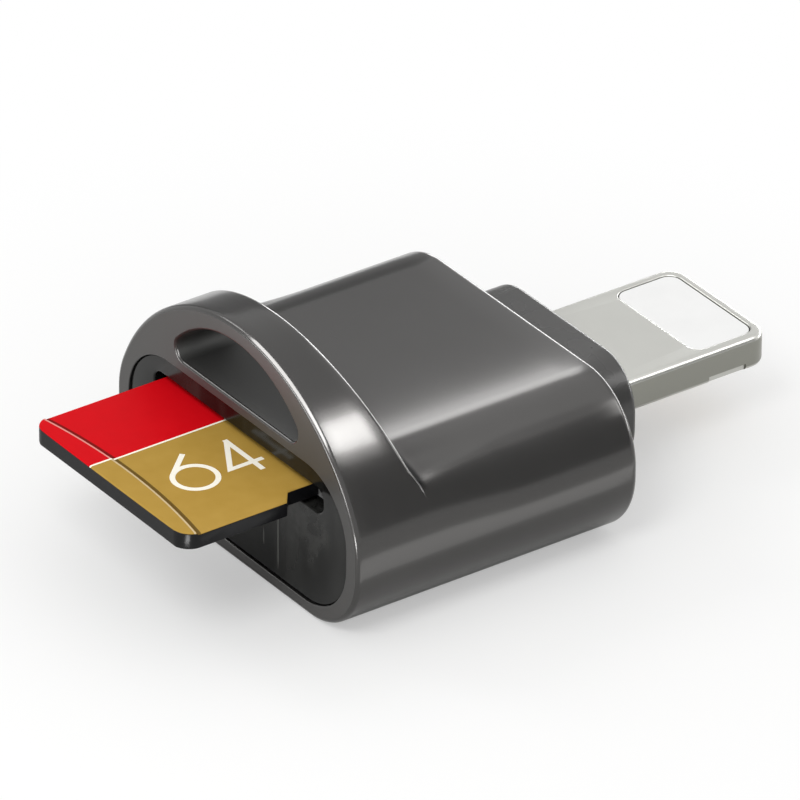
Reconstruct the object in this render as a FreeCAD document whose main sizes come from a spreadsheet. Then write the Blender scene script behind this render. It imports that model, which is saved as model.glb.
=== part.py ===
"""A pocket memory card reader: a cast metal housing with a key-ring loop, a smoky plastic front
insert with the card slot, a flat eight-contact phone plug on a collar at the back, the board with
its card socket inside, and a memory card standing partly out of the slot.

Frame: millimetres, +Z up, +X to the reader's right seen from the card end, +Y towards the plug.
Every piece is drawn with y = 0 at the card end's front face. Its Placement then carries it back by
half the housing's length, so that the origin is the middle of the housing's flat underside.
"""

import FreeCAD
import Part
import Sketcher
import math
import os
import re

Vector = FreeCAD.Vector

# Driving dimensions: name, size in millimetres, meaning.
SIZES = (
    ("side_room", 3.1, "housing beyond the card at each side"),
    ("body_height", 7.2, "housing, underside to top"),
    ("body_length", 14.0, "housing, card end to plug end"),
    ("body_radius", 3.4, "round of the housing's four long corners"),
    ("wall", 0.7, "housing wall round the board"),
    ("inner_radius", 2.4, "round of the inside's long corners"),
    ("rear_wall", 1.0, "housing wall at the plug end"),
    ("rear_edge", 0.35, "round of the plug end's outer edge"),
    ("arch_height", 11.05, "top of the key-ring arch above the underside"),
    ("arch_foot_depth", 5.55, "arch, front to back, one wall below the underside"),
    ("arch_crown_depth", 1.85, "arch, front to back, one wall above its top"),
    ("arch_edge", 0.22, "round of the arch's edges"),
    ("shoulder_radius", 3.8, "round of the arch's shoulders"),
    ("shoulder_level", 4.1, "height at which the shoulders start"),
    ("loop_sill", 0.35, "floor of the half-moon hole above the housing's top"),
    ("loop_rim", 0.8, "metal over the half-moon hole at the arch's top"),
    ("loop_radius", 5.8, "round of the half-moon's crown"),
    ("loop_corner", 0.55, "round of the half-moon's two floor corners"),
    ("insert_side_rim", 0.85, "metal frame at each side of the front insert"),
    ("insert_low", 0.5, "metal frame under the front insert"),
    ("insert_drop", 0.15, "top of the front insert below the housing's top"),
    ("insert_radius", 2.85, "round of the front insert's corners"),
    ("insert_recess", 0.2, "depth of the insert's face behind the metal frame"),
    ("insert_thickness", 1.5, "front insert, front to back"),
    ("fit_gap", 0.03, "clearance round a piece that is pushed in"),
    ("slot_width", 12.0, "card slot, side to side"),
    ("slot_height", 1.15, "card slot, top to bottom"),
    ("slot_corner", 0.5, "round of the card slot's ends"),
    ("slot_bevel", 0.1, "bevel round the card slot's mouth"),
    ("collar_width", 10.2, "plug collar, side to side"),
    ("collar_room", 0.35, "collar short of the housing's inside, over and under it"),
    ("collar_radius", 2.2, "round of the collar's corners"),
    ("collar_length", 2.5, "length of the collar behind the housing"),
    ("collar_edge", 0.3, "round of the collar's end edge"),
    ("flange_side_lip", 0.5, "collar's flange beyond the collar at each side"),
    ("flange_lip", 0.1, "collar's flange beyond the collar, over and under it"),
    ("flange_thickness", 0.8, "collar's flange, front to back"),
    ("plug_drop", 0.15, "middle of the plug and the collar below the housing's middle"),
    ("plug_width", 6.7, "plug tab, side to side"),
    ("plug_thickness", 1.5, "plug tab, top to bottom"),
    ("plug_length", 8.1, "plug tab beyond the collar"),
    ("plug_edge", 0.25, "round of the plug tab's long edges"),
    ("tip_radius", 0.9, "round of the plug tab's end corners in plan"),
    ("window_width", 5.8, "plug window, side to side"),
    ("window_length", 3.1, "plug window, along the plug"),
    ("window_corner", 0.6, "round of the plug window's corners"),
    ("tip_wall", 0.45, "metal between the window and the plug's end"),
    ("window_recess", 0.04, "depth of the window's plastic below the metal"),
    ("channel_width", 5.2, "passage through the plug shell behind its window"),
    ("channel_height", 1.14, "the passage, top to bottom"),
    ("notch_length", 1.9, "catch notch in the plug's side, along the plug"),
    ("notch_depth", 0.2, "catch notch, into the side"),
    ("notch_height", 0.35, "catch notch, up from the plug's underside"),
    ("notch_from_tip", 1.25, "plug's end to the catch notch"),
    ("pin_width", 0.4, "plug contact, side to side"),
    ("pin_pitch", 0.6, "plug contact to plug contact"),
    ("pin_thickness", 0.14, "plug contact, top to bottom"),
    ("pin_margin", 0.35, "plug contact's end to the window's end"),
    ("pin_tail", 1.0, "plug contact's length under the board"),
    ("board_gap", 0.2, "clearance at each side of the circuit board"),
    ("board_thickness", 0.8, "circuit board, top to bottom"),
    ("board_setback", 0.4, "board's rear edge before the collar's flange"),
    ("board_corner", 0.6, "round of the board's corners"),
    ("card_width", 11.0, "memory card, side to side at its outer end"),
    ("card_nose_width", 9.7, "memory card, side to side at its contact end"),
    ("card_length", 15.0, "memory card, end to end"),
    ("card_thickness", 0.7, "memory card, top to bottom"),
    ("card_corner", 0.8, "round of the memory card's corners"),
    ("card_drop", 1.95, "memory card's underside below the housing's top"),
    ("card_out", 6.3, "length of the card that stands out of the front face"),
    ("stop_gap", 0.08, "socket's end stop before the collar's flange"),
    ("card_gap", 0.12, "clearance at each side of the card in its socket"),
    ("grip_rise", 0.08, "height of the card's thumb grip over its label side"),
    ("grip_length", 1.15, "length of the thumb grip at the card's middle"),
    ("grip_arc", 30.0, "radius of the thumb grip's curved step"),
    ("notch_start", 5.0, "card's outer end to its side notch"),
    ("notch_in", 0.65, "card's side notch, into the side"),
    ("notch_slope", 0.5, "sloped start of the card's side notch, along the card"),
    ("notch_run", 2.0, "card's side notch, along the card"),
    ("tooth_run", 0.7, "straight edge between the notch and the nose's slope"),
    ("nose_slope", 1.3, "slope that narrows the card to its nose, along the card"),
    ("pad_width", 0.8, "card contact pad, side to side"),
    ("pad_length", 2.9, "card contact pad, along the card"),
    ("pad_pitch", 1.1, "contact to contact, on the card and in the socket"),
    ("pad_margin", 0.7, "card's contact end to its pads"),
    ("pad_recess", 0.1, "depth of the recess that holds the pads"),
    ("pad_thickness", 0.06, "card contact pad, top to bottom"),
    ("socket_wall", 0.5, "socket base, side and end walls"),
    ("socket_floor_gap", 0.15, "card's underside to the socket's floor"),
    ("socket_roof_gap", 0.15, "card's top to the socket's cover"),
    ("sheet_metal", 0.2, "thickness of the socket's metal cover"),
    ("cover_setback", 0.4, "socket's front edge behind the insert"),
    ("cover_skirt", 0.5, "foot of the cover's sides above the board"),
    ("spring_width", 0.5, "socket contact, side to side"),
    ("spring_thickness", 0.15, "socket contact, sheet thickness"),
    ("spring_reach", 2.6, "socket contact, foot to tip along the card"),
    ("spring_foot", 0.7, "socket contact's soldered foot, along the card"),
    ("spring_gap", 0.05, "socket contact's tip below the card"),
    ("chip_side", 5.0, "controller chip, both ways"),
    ("chip_height", 0.9, "controller chip, off the board"),
    ("bridge_side", 3.0, "interface chip, both ways"),
    ("bridge_height", 0.75, "interface chip, off the board"),
    ("crystal_length", 3.2, "crystal can, long way"),
    ("crystal_width", 2.5, "crystal can, short way"),
    ("crystal_height", 0.7, "crystal can, off the board"),
    ("regulator_length", 2.9, "power regulator, long way"),
    ("regulator_width", 1.6, "power regulator, short way"),
    ("regulator_height", 1.0, "power regulator, off the board"),
    ("chip_part_length", 1.0, "capacitor or resistor, long way"),
    ("chip_part_width", 0.5, "capacitor or resistor, short way"),
    ("capacitor_height", 0.5, "capacitor, off the board"),
    ("resistor_height", 0.35, "resistor, off the board"),
    ("chip_part_pitch", 1.0, "capacitor to capacitor, resistor to resistor"),
    ("lamp_length", 1.6, "indicator lamp, long way"),
    ("lamp_width", 0.8, "indicator lamp, short way"),
    ("lamp_height", 0.6, "indicator lamp, off the board"),
    ("switch_length", 2.2, "card-detect switch, along the card"),
    ("switch_width", 0.5, "card-detect switch, side to side"),
    ("switch_height", 1.0, "card-detect switch, off the board"),
    ("layout_gap", 0.8, "clear board between neighbouring pieces"),
)

CONTACTS = 8

doc = FreeCAD.newDocument("CardReader")
sheet = doc.addObject("Spreadsheet::Sheet", "Sizes")
for row, (alias, size, meaning) in enumerate(SIZES, 1):
    sheet.set(f"A{row}", meaning)
    sheet.set(f"B{row}", str(size))
    sheet.setAlias(f"B{row}", alias)
doc.recompute()

TERM = re.compile(r"([+-]?)\s*(?:([\d.]+)\*)?([a-z_]+|[\d.]+)(?:/([\d.]+))?")


def number(formula):
    """Works out a sum of sheet names and plain numbers, such as 'wall + 2*fit_gap'."""
    total = 0.0
    for sign, factor, name, divisor in TERM.findall(formula):
        term = float(sheet.get(name)) if name[0].isalpha() else float(name)
        term = term * float(factor or 1) / float(divisor or 1)
        total += -term if sign == "-" else term
    return total


def minus(formula):
    """The same sum with every sign turned."""
    turned = {"+": "-", "-": "+"}
    return "0 - " + re.sub(r"[+-]", lambda found: turned[found.group()], formula)


def bind(target, name, formula):
    """Ties a property, or a sketch's named constraint, to a sum of the sheet's sizes."""
    target.setExpression(name, re.sub(r"[a-z_]{3,}", lambda found: "Sizes." + found.group(), formula))


def seat(target):
    """Carries a finished sub-part back by half the housing's length."""
    bind(target, "Placement.Base.y", "0 - body_length/2")


def new_body(label):
    """Starts a sub-part made by sketches and features."""
    body = doc.addObject("PartDesign::Body", label)
    body.Label = label
    seat(body)
    return body


def new_sketch(body, role, name, shift="0"):
    """A sketch on one of the body's origin planes, moved along the plane's own axis by shift."""
    sketch = body.newObject("Sketcher::SketchObject", f"{body.Name}_{name}_sketch")
    plane = next(item for item in body.Origin.OriginFeatures if item.Role == role)
    sketch.AttachmentSupport = [(plane, "")]
    sketch.MapMode = "FlatFace"
    # The XZ plane faces -Y, so a move along +Y is a negative offset there.
    turned = role == "XZ_Plane"
    offset = f"0 - ({shift})" if turned else shift
    if number(shift):
        bind(sketch, "AttachmentOffset.Base.z", offset)
    return sketch


def rule(sketch, name, formula, kind, *where):
    """Adds a dimension to a sketch and ties it to the sheet."""
    index = sketch.addConstraint(Sketcher.Constraint(kind, *where, number(formula)))
    sketch.renameConstraint(index, name)
    bind(sketch, f"Constraints.{name}", formula)


def level(sketch, name, formula, element, corner):
    """Sets a point's height over the sketch's origin."""
    if number(formula):
        rule(sketch, name, formula, "DistanceY", -1, 1, element, corner)
    else:
        sketch.addConstraint(Sketcher.Constraint("PointOnObject", element, corner, -1))


def chain(sketch, count, kind):
    """Joins each element's end to the next one's start, round a closed outline."""
    for index in range(count):
        sketch.addConstraint(Sketcher.Constraint(kind, index, 2, (index + 1) % count, 1))


def line(start, end):
    return Part.LineSegment(Vector(*start, 0), Vector(*end, 0))


def arc(centre, radius, start, end):
    """An arc that runs anticlockwise between two angles in degrees."""
    circle = Part.Circle(Vector(*centre, 0), Vector(0, 0, 1), radius)
    return Part.ArcOfCircle(circle, math.radians(start), math.radians(end))


def rounded_rectangle(sketch, width, low, high, radius):
    """A rectangle with round corners, symmetrical about the sketch's upright axis."""
    half, bottom, top, r = number(width) / 2, number(low), number(high), number(radius)
    sketch.addGeometry([
        line((r - half, bottom), (half - r, bottom)),
        arc((half - r, bottom + r), r, -90, 0),
        line((half, bottom + r), (half, top - r)),
        arc((half - r, top - r), r, 0, 90),
        line((half - r, top), (r - half, top)),
        arc((r - half, top - r), r, 90, 180),
        line((-half, top - r), (-half, bottom + r)),
        arc((r - half, bottom + r), r, 180, 270),
    ])
    chain(sketch, 8, "Tangent")
    sketch.addConstraint(Sketcher.Constraint("Vertical", 2))
    sketch.addConstraint(Sketcher.Constraint("Horizontal", 4))
    sketch.addConstraint(Sketcher.Constraint("Vertical", 6))
    for corner in (3, 5, 7):
        sketch.addConstraint(Sketcher.Constraint("Equal", 1, corner))
    sketch.addConstraint(Sketcher.Constraint("Symmetric", 0, 1, 0, 2, -2))
    rule(sketch, "width", width, "DistanceX", 6, 1, 2, 1)
    rule(sketch, "radius", radius, "Radius", 1)
    level(sketch, "low", low, 0, 1)
    level(sketch, "high", high, 4, 1)


def polygon(sketch, corners):
    """A closed outline of straight edges through corners given as pairs of formulas."""
    points = [(number(across), number(up)) for across, up in corners]
    count = len(points)
    sketch.addGeometry([line(points[i], points[(i + 1) % count]) for i in range(count)])
    chain(sketch, count, "Coincident")
    for index, (across, up) in enumerate(corners):
        if number(across):
            rule(sketch, f"across_{index}", across, "DistanceX", -1, 1, index, 1)
        else:
            sketch.addConstraint(Sketcher.Constraint("PointOnObject", index, 1, -2))
        level(sketch, f"up_{index}", up, index, 1)


def pad(body, sketch, length, name):
    """Raises a sketch: towards +Y from the XZ plane, towards +Z or +X from the others."""
    feature = body.newObject("PartDesign::Pad", f"{body.Name}_{name}")
    feature.Profile = sketch
    feature.Reversed = sketch.AttachmentSupport[0][0].Role == "XZ_Plane"
    bind(feature, "Length", length)
    return feature


def pocket(body, sketch, length, name):
    """Cuts a sketch into the body: towards +Y from the XZ plane, towards +Z or +X from the others."""
    doc.recompute()
    before = body.Shape.Volume
    feature = body.newObject("PartDesign::Pocket", f"{body.Name}_{name}")
    feature.Profile = sketch
    feature.Reversed = sketch.AttachmentSupport[0][0].Role != "XZ_Plane"
    bind(feature, "Length", length)
    doc.recompute()
    if not body.Shape.Volume < before:
        raise RuntimeError(f"{feature.Name} cuts nothing")
    return feature


def edges_where(shape, test):
    """Names of the edges whose midpoint and direction there pass a test."""
    names = []
    for index, edge in enumerate(shape.Edges, 1):
        middle = edge.valueAt((edge.FirstParameter + edge.LastParameter) / 2)
        along = edge.tangentAt((edge.FirstParameter + edge.LastParameter) / 2)
        if test(middle, along):
            names.append(f"Edge{index}")
    return names


def soften(body, kind, size, name, test):
    """Rounds or bevels the edges of a body that pass a test, given in the body's own frame."""
    doc.recompute()
    base = body.Tip
    names = edges_where(base.Shape, test)
    if not names:
        raise RuntimeError(f"no edge for {name}")
    feature = body.newObject(f"PartDesign::{kind}", f"{body.Name}_{name}")
    feature.Base = (base, names)
    bind(feature, "Radius" if kind == "Fillet" else "Size", size)
    return feature


def near(value, wanted, within=0.02):
    return abs(value - wanted) < within


def block(label, x, y, z, along_x, along_y, along_z):
    """A rectangular solid from its middle in x, its start in y and its foot in z."""
    box = doc.addObject("Part::Box", label)
    for name, formula in (("Length", along_x), ("Width", along_y), ("Height", along_z)):
        bind(box, name, formula)
    bind(box, "Placement.Base.x", f"{x} - ({along_x})/2")
    bind(box, "Placement.Base.y", y)
    bind(box, "Placement.Base.z", z)
    return box


def named(kind, label, **links):
    """A boolean of earlier solids, as a finished sub-part."""
    result = doc.addObject(f"Part::{kind}", label)
    result.Label = label
    for name, target in links.items():
        setattr(result, name, target)
    seat(result)
    return result


def group(label, solids):
    """Several separate solids that share one node."""
    result = doc.addObject("Part::Feature", label)
    result.Label = label
    result.Shape = Part.makeCompound(solids)
    seat(result)
    return result


def strip(profile, middle, width):
    """A bent strip of metal: a side profile in y and z, extruded across x."""
    corners = [Vector(middle - width / 2, y, z) for y, z in profile]
    face = Part.Face(Part.makePolygon(corners + corners[:1]))
    return face.extrude(Vector(width, 0, 0))


def row_of(count, pitch, middle=0.0):
    """Places of a centred row."""
    return [middle + (index - (count - 1) / 2) * pitch for index in range(count)]


# Shared levels and depths, each a sum of the sheet's sizes.
BODY_WIDTH = "card_width + 2*side_room"
BODY_HALF = "card_width/2 + side_room"
LOOP_FLOOR = "body_height + loop_sill"
LOOP_TOP = "arch_height - loop_rim"
INSERT_WIDTH = f"{BODY_WIDTH} - 2*insert_side_rim"
INSERT_HIGH = "body_height - insert_drop"
PLUG_LEVEL = "body_height/2 - plug_drop"
COLLAR_FOOT = "wall + collar_room - plug_drop"
COLLAR_TOP = "body_height - wall - collar_room - plug_drop"
CARD_LEVEL = "body_height - card_drop"
INSERT_BACK = "insert_recess + insert_thickness"
FLANGE_FRONT = "body_length - rear_wall - flange_thickness"
BOARD_END = f"{FLANGE_FRONT} - board_setback"
BOARD_FOOT = f"{PLUG_LEVEL} - board_thickness/2"
BOARD_TOP = f"{PLUG_LEVEL} + board_thickness/2"
PLUG_END = "body_length + collar_length + plug_length"
PLUG_FOOT = f"{PLUG_LEVEL} - plug_thickness/2"
PLUG_TOP = f"{PLUG_LEVEL} + plug_thickness/2"
WINDOW_END = f"{PLUG_END} - tip_wall"
WINDOW_START = f"{WINDOW_END} - window_length"
CARD_MIDDLE = f"{CARD_LEVEL} + card_thickness/2"
CARD_TOP = f"{CARD_LEVEL} + card_thickness"
CARD_SEATED = f"{FLANGE_FRONT} - stop_gap - socket_wall - card_gap"
SOCKET_FLOOR = f"{CARD_LEVEL} - socket_floor_gap"
SOCKET_ROOF = f"{CARD_TOP} + socket_roof_gap"
SOCKET_FRONT = f"{INSERT_BACK} + cover_setback"
SOCKET_STOP = f"{CARD_SEATED} + card_gap"
SOCKET_INNER = "card_width/2 + card_gap"
SOCKET_OUTER = f"{SOCKET_INNER} + socket_wall"
COVER_INNER = f"{SOCKET_OUTER} + fit_gap"
COVER_OUTER = f"{COVER_INNER} + sheet_metal"
PAD_MIDDLE = "card_nose_width/2 - card_width/2"
PAD_START = "card_length - pad_margin - pad_length"
SPRING_TIP = f"{CARD_SEATED} - pad_margin - pad_length + spring_foot"


def make_housing():
    """Cast metal housing: the arch first, with its slanted back and rounded edges, then the barrel
    behind it, the inside, the two openings and the half-moon loop."""
    body = new_body("housing")

    outline = new_sketch(body, "XZ_Plane", "arch")
    half, r = number(BODY_HALF), number("body_radius")
    shoulder, rise, top = number("shoulder_radius"), number("shoulder_level"), number("arch_height")
    across, drop = half - shoulder, rise - top
    crown = (shoulder**2 - across**2 - drop**2) / (2 * (drop + shoulder))
    lean = math.degrees(math.atan2(rise - (top - crown), across))
    outline.addGeometry([
        line((r - half, 0), (half - r, 0)),
        arc((half - r, r), r, -90, 0),
        line((half, r), (half, rise)),
        arc((across, rise), shoulder, 0, lean),
        arc((0, top - crown), crown, lean, 180 - lean),
        arc((-across, rise), shoulder, 180 - lean, 180),
        line((-half, rise), (-half, r)),
        arc((r - half, r), r, 180, 270),
    ])
    outline.addGeometry(Part.Point(Vector(0, top, 0)), True)
    chain(outline, 8, "Tangent")
    for upright in (2, 6):
        outline.addConstraint(Sketcher.Constraint("Vertical", upright))
    outline.addConstraint(Sketcher.Constraint("Symmetric", 0, 1, 0, 2, -2))
    outline.addConstraint(Sketcher.Constraint("PointOnObject", 0, 1, -1))
    outline.addConstraint(Sketcher.Constraint("Equal", 1, 7))
    outline.addConstraint(Sketcher.Constraint("Equal", 3, 5))
    outline.addConstraint(Sketcher.Constraint("PointOnObject", 4, 3, -2))
    outline.addConstraint(Sketcher.Constraint("PointOnObject", 8, 1, -2))
    outline.addConstraint(Sketcher.Constraint("PointOnObject", 8, 1, 4))
    rule(outline, "width", BODY_WIDTH, "DistanceX", 6, 1, 2, 1)
    rule(outline, "corner", "body_radius", "Radius", 1)
    rule(outline, "shoulder", "shoulder_radius", "Radius", 3)
    rule(outline, "rise", "shoulder_level", "DistanceY", -1, 1, 3, 3)
    rule(outline, "top", "arch_height", "DistanceY", -1, 1, 8, 1)
    pad(body, outline, "arch_foot_depth", "arch")

    slant = new_sketch(body, "YZ_Plane", "slant", minus(f"{BODY_HALF} + wall"))
    polygon(slant, [
        ("arch_foot_depth", "0 - wall"),
        ("arch_foot_depth + wall", "0 - wall"),
        ("arch_foot_depth + wall", "arch_height + wall"),
        ("arch_crown_depth", "arch_height + wall"),
    ])
    pocket(body, slant, f"{BODY_WIDTH} + 2*wall", "slant")
    soften(body, "Fillet", "arch_edge", "arch_round", lambda middle, along: abs(along.y) < 0.99)

    barrel = new_sketch(body, "XZ_Plane", "barrel", "arch_crown_depth/2")
    rounded_rectangle(barrel, BODY_WIDTH, "0", "body_height", "body_radius")
    pad(body, barrel, "body_length - arch_crown_depth/2", "barrel")
    end = number("body_length")
    soften(body, "Fillet", "rear_edge", "rear_round", lambda middle, along: near(middle.y, end))

    opening = new_sketch(body, "XZ_Plane", "opening")
    rounded_rectangle(opening, INSERT_WIDTH, "insert_low", INSERT_HIGH, "insert_radius")
    pocket(body, opening, INSERT_BACK, "opening")

    inside = new_sketch(body, "XZ_Plane", "inside", INSERT_BACK)
    rounded_rectangle(inside, f"{BODY_WIDTH} - 2*wall", "wall", "body_height - wall", "inner_radius")
    pocket(body, inside, f"body_length - rear_wall - ({INSERT_BACK})", "inside")

    rear = new_sketch(body, "XZ_Plane", "rear", "body_length - rear_wall")
    rounded_rectangle(
        rear,
        "collar_width + 2*fit_gap",
        f"{COLLAR_FOOT} - fit_gap",
        f"{COLLAR_TOP} + fit_gap",
        "collar_radius + fit_gap",
    )
    pocket(body, rear, "rear_wall", "rear")

    loop = new_sketch(body, "XZ_Plane", "loop")
    floor, roof = number(LOOP_FLOOR), number(LOOP_TOP)
    crown, corner = number("loop_radius"), number("loop_corner")
    middle = roof - crown
    up = floor + corner - middle
    reach = math.sqrt((crown - corner) ** 2 - up**2)
    lean = math.degrees(math.atan2(up, reach))
    loop.addGeometry([
        line((-reach, floor), (reach, floor)),
        arc((reach, floor + corner), corner, -90, lean),
        arc((0, middle), crown, lean, 180 - lean),
        arc((-reach, floor + corner), corner, 180 - lean, 270),
    ])
    loop.addGeometry(Part.Point(Vector(0, roof, 0)), True)
    chain(loop, 4, "Tangent")
    loop.addConstraint(Sketcher.Constraint("Symmetric", 0, 1, 0, 2, -2))
    loop.addConstraint(Sketcher.Constraint("Equal", 1, 3))
    loop.addConstraint(Sketcher.Constraint("PointOnObject", 4, 1, -2))
    loop.addConstraint(Sketcher.Constraint("PointOnObject", 4, 1, 2))
    rule(loop, "crown", "loop_radius", "Radius", 2)
    rule(loop, "corner", "loop_corner", "Radius", 1)
    rule(loop, "floor", LOOP_FLOOR, "DistanceY", -1, 1, 0, 1)
    rule(loop, "roof", LOOP_TOP, "DistanceY", -1, 1, 4, 1)
    pocket(body, loop, "arch_foot_depth", "loop")
    soften(body, "Fillet", "arch_edge/2", "loop_round",
           lambda point, along: near(point.y, 0) and point.z > floor - 0.02
           and math.hypot(point.x, point.z - middle) < crown + 0.05)
    return body


def make_front_insert():
    """Smoky plastic plate pushed into the housing's front, with the slot that the card passes."""
    body = new_body("front_insert")
    plate = new_sketch(body, "XZ_Plane", "plate", "insert_recess")
    rounded_rectangle(
        plate,
        f"{INSERT_WIDTH} - 2*fit_gap",
        "insert_low + fit_gap",
        f"{INSERT_HIGH} - fit_gap",
        "insert_radius - fit_gap",
    )
    pad(body, plate, "insert_thickness", "plate")
    slot = new_sketch(body, "XZ_Plane", "slot", "insert_recess")
    rounded_rectangle(
        slot,
        "slot_width",
        f"{CARD_MIDDLE} - slot_height/2",
        f"{CARD_MIDDLE} + slot_height/2",
        "slot_corner",
    )
    pocket(body, slot, "insert_thickness", "slot")
    front = number("insert_recess")
    soften(body, "Chamfer", "slot_bevel", "lead_in",
           lambda middle, along: near(middle.y, front) and abs(middle.x) < number("slot_width") / 2 + 0.02
           and abs(middle.z - number(CARD_MIDDLE)) < number("slot_height") / 2 + 0.02)
    return body


def make_rear_collar():
    """Plastic collar round the plug: a flange inside the housing and a stub through its rear wall."""
    body = new_body("rear_collar")
    flange = new_sketch(body, "XZ_Plane", "flange", FLANGE_FRONT)
    rounded_rectangle(
        flange,
        "collar_width + 2*flange_side_lip",
        f"{COLLAR_FOOT} - flange_lip",
        f"{COLLAR_TOP} + flange_lip",
        "collar_radius",
    )
    pad(body, flange, "flange_thickness", "flange")
    stub = new_sketch(body, "XZ_Plane", "stub", "body_length - rear_wall")
    rounded_rectangle(
        stub,
        "collar_width",
        COLLAR_FOOT,
        COLLAR_TOP,
        "collar_radius",
    )
    pad(body, stub, "rear_wall + collar_length", "stub")
    end = number("body_length + collar_length")
    soften(body, "Fillet", "collar_edge", "end_round", lambda middle, along: near(middle.y, end))
    bore = new_sketch(body, "XZ_Plane", "bore", FLANGE_FRONT)
    rounded_rectangle(
        bore,
        "plug_width + 2*fit_gap",
        f"{PLUG_FOOT} - fit_gap",
        f"{PLUG_TOP} + fit_gap",
        "plug_edge + fit_gap",
    )
    pocket(body, bore, "flange_thickness + rear_wall + collar_length", "bore")
    return body


def make_plug_shell():
    """Steel plug tab: a flat bar with round edges, a passage for the core and a window through it."""
    body = new_body("plug_shell")
    plan = new_sketch(body, "XY_Plane", "plan", PLUG_FOOT)
    polygon(plan, [
        ("0 - plug_width/2", FLANGE_FRONT),
        ("plug_width/2", FLANGE_FRONT),
        ("plug_width/2", PLUG_END),
        ("0 - plug_width/2", PLUG_END),
    ])
    pad(body, plan, "plug_thickness", "plan")
    start, tip = number(FLANGE_FRONT), number(PLUG_END)
    soften(body, "Fillet", "tip_radius", "tip",
           lambda middle, along: abs(along.z) > 0.99 and near(middle.y, tip))
    soften(body, "Fillet", "plug_edge", "edges",
           lambda middle, along: abs(along.z) < 0.01 and middle.y > start + 0.02)

    channel = new_sketch(body, "XZ_Plane", "channel", FLANGE_FRONT)
    rounded_rectangle(
        channel,
        "channel_width",
        f"{PLUG_LEVEL} - channel_height/2",
        f"{PLUG_LEVEL} + channel_height/2",
        "plug_edge/2",
    )
    pocket(body, channel, f"{WINDOW_START} - ({FLANGE_FRONT}) + window_corner", "channel")

    window = new_sketch(body, "XY_Plane", "window", f"{PLUG_FOOT} - wall")
    rounded_rectangle(window, "window_width", WINDOW_START, WINDOW_END, "window_corner")
    pocket(body, window, "plug_thickness + 2*wall", "window")

    for side, name in ((1, "right"), (-1, "left")):
        notch = new_sketch(body, "XY_Plane", f"notch_{name}", f"{PLUG_FOOT} - wall")
        inner, outer = "plug_width/2 - notch_depth", "plug_width/2 + wall"
        if side < 0:
            inner, outer = minus(inner), minus(outer)
        polygon(notch, [
            (inner, f"{PLUG_END} - notch_from_tip - notch_length"),
            (outer, f"{PLUG_END} - notch_from_tip - notch_length"),
            (outer, f"{PLUG_END} - notch_from_tip"),
            (inner, f"{PLUG_END} - notch_from_tip"),
        ])
        pocket(body, notch, "wall + notch_height", f"notch_{name}")
    return body


def pin_shapes():
    """The eight plug contacts: flat under the board, stepping down to the window's underside."""
    thick = number("pin_thickness")
    tail = number(BOARD_FOOT)
    face = number(f"{PLUG_FOOT} + window_recess/2")
    step = number(WINDOW_START)
    profile = [
        (number(f"{BOARD_END} - pin_tail"), tail - thick),
        (step, tail - thick),
        (step + thick * 2, face),
        (number(f"{WINDOW_END} - pin_margin"), face),
        (number(f"{WINDOW_END} - pin_margin"), face + thick),
        (step + thick * 3, face + thick),
        (step + thick, tail),
        (number(f"{BOARD_END} - pin_tail"), tail),
    ]
    return [strip(profile, x, number("pin_width")) for x in row_of(CONTACTS, number("pin_pitch"))]


def make_plug_core(pins):
    """White plastic core, moulded round the contacts: it fills the window and runs back to the board."""
    fill = doc.addObject("PartDesign::Body", "window_fill")
    plan = new_sketch(fill, "XY_Plane", "plan", f"{PLUG_FOOT} + window_recess")
    rounded_rectangle(
        plan,
        "window_width - 2*fit_gap",
        f"{WINDOW_START} + fit_gap",
        f"{WINDOW_END} - fit_gap",
        "window_corner - fit_gap",
    )
    pad(fill, plan, "plug_thickness - 2*window_recess", "plan")
    bar = block(
        "core_bar",
        "0", BOARD_END, BOARD_FOOT,
        "channel_width - 2*fit_gap", f"{WINDOW_START} + window_corner - ({BOARD_END})", "board_thickness",
    )
    fused = doc.addObject("Part::MultiFuse", "core_blank")
    fused.Shapes = [fill, bar]
    tool = doc.addObject("Part::Feature", "contact_space")
    tool.Shape = Part.makeCompound(pins)
    return named("Cut", "plug_core", Base=fused, Tool=tool)


def make_main_board():
    """Circuit board: carries the card socket on top and the chips underneath."""
    body = new_body("main_board")
    plan = new_sketch(body, "XY_Plane", "plan", BOARD_FOOT)
    rounded_rectangle(plan, f"{BODY_WIDTH} - 2*wall - 2*board_gap", INSERT_BACK, BOARD_END, "board_corner")
    pad(body, plan, "board_thickness", "plan")
    return body


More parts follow.
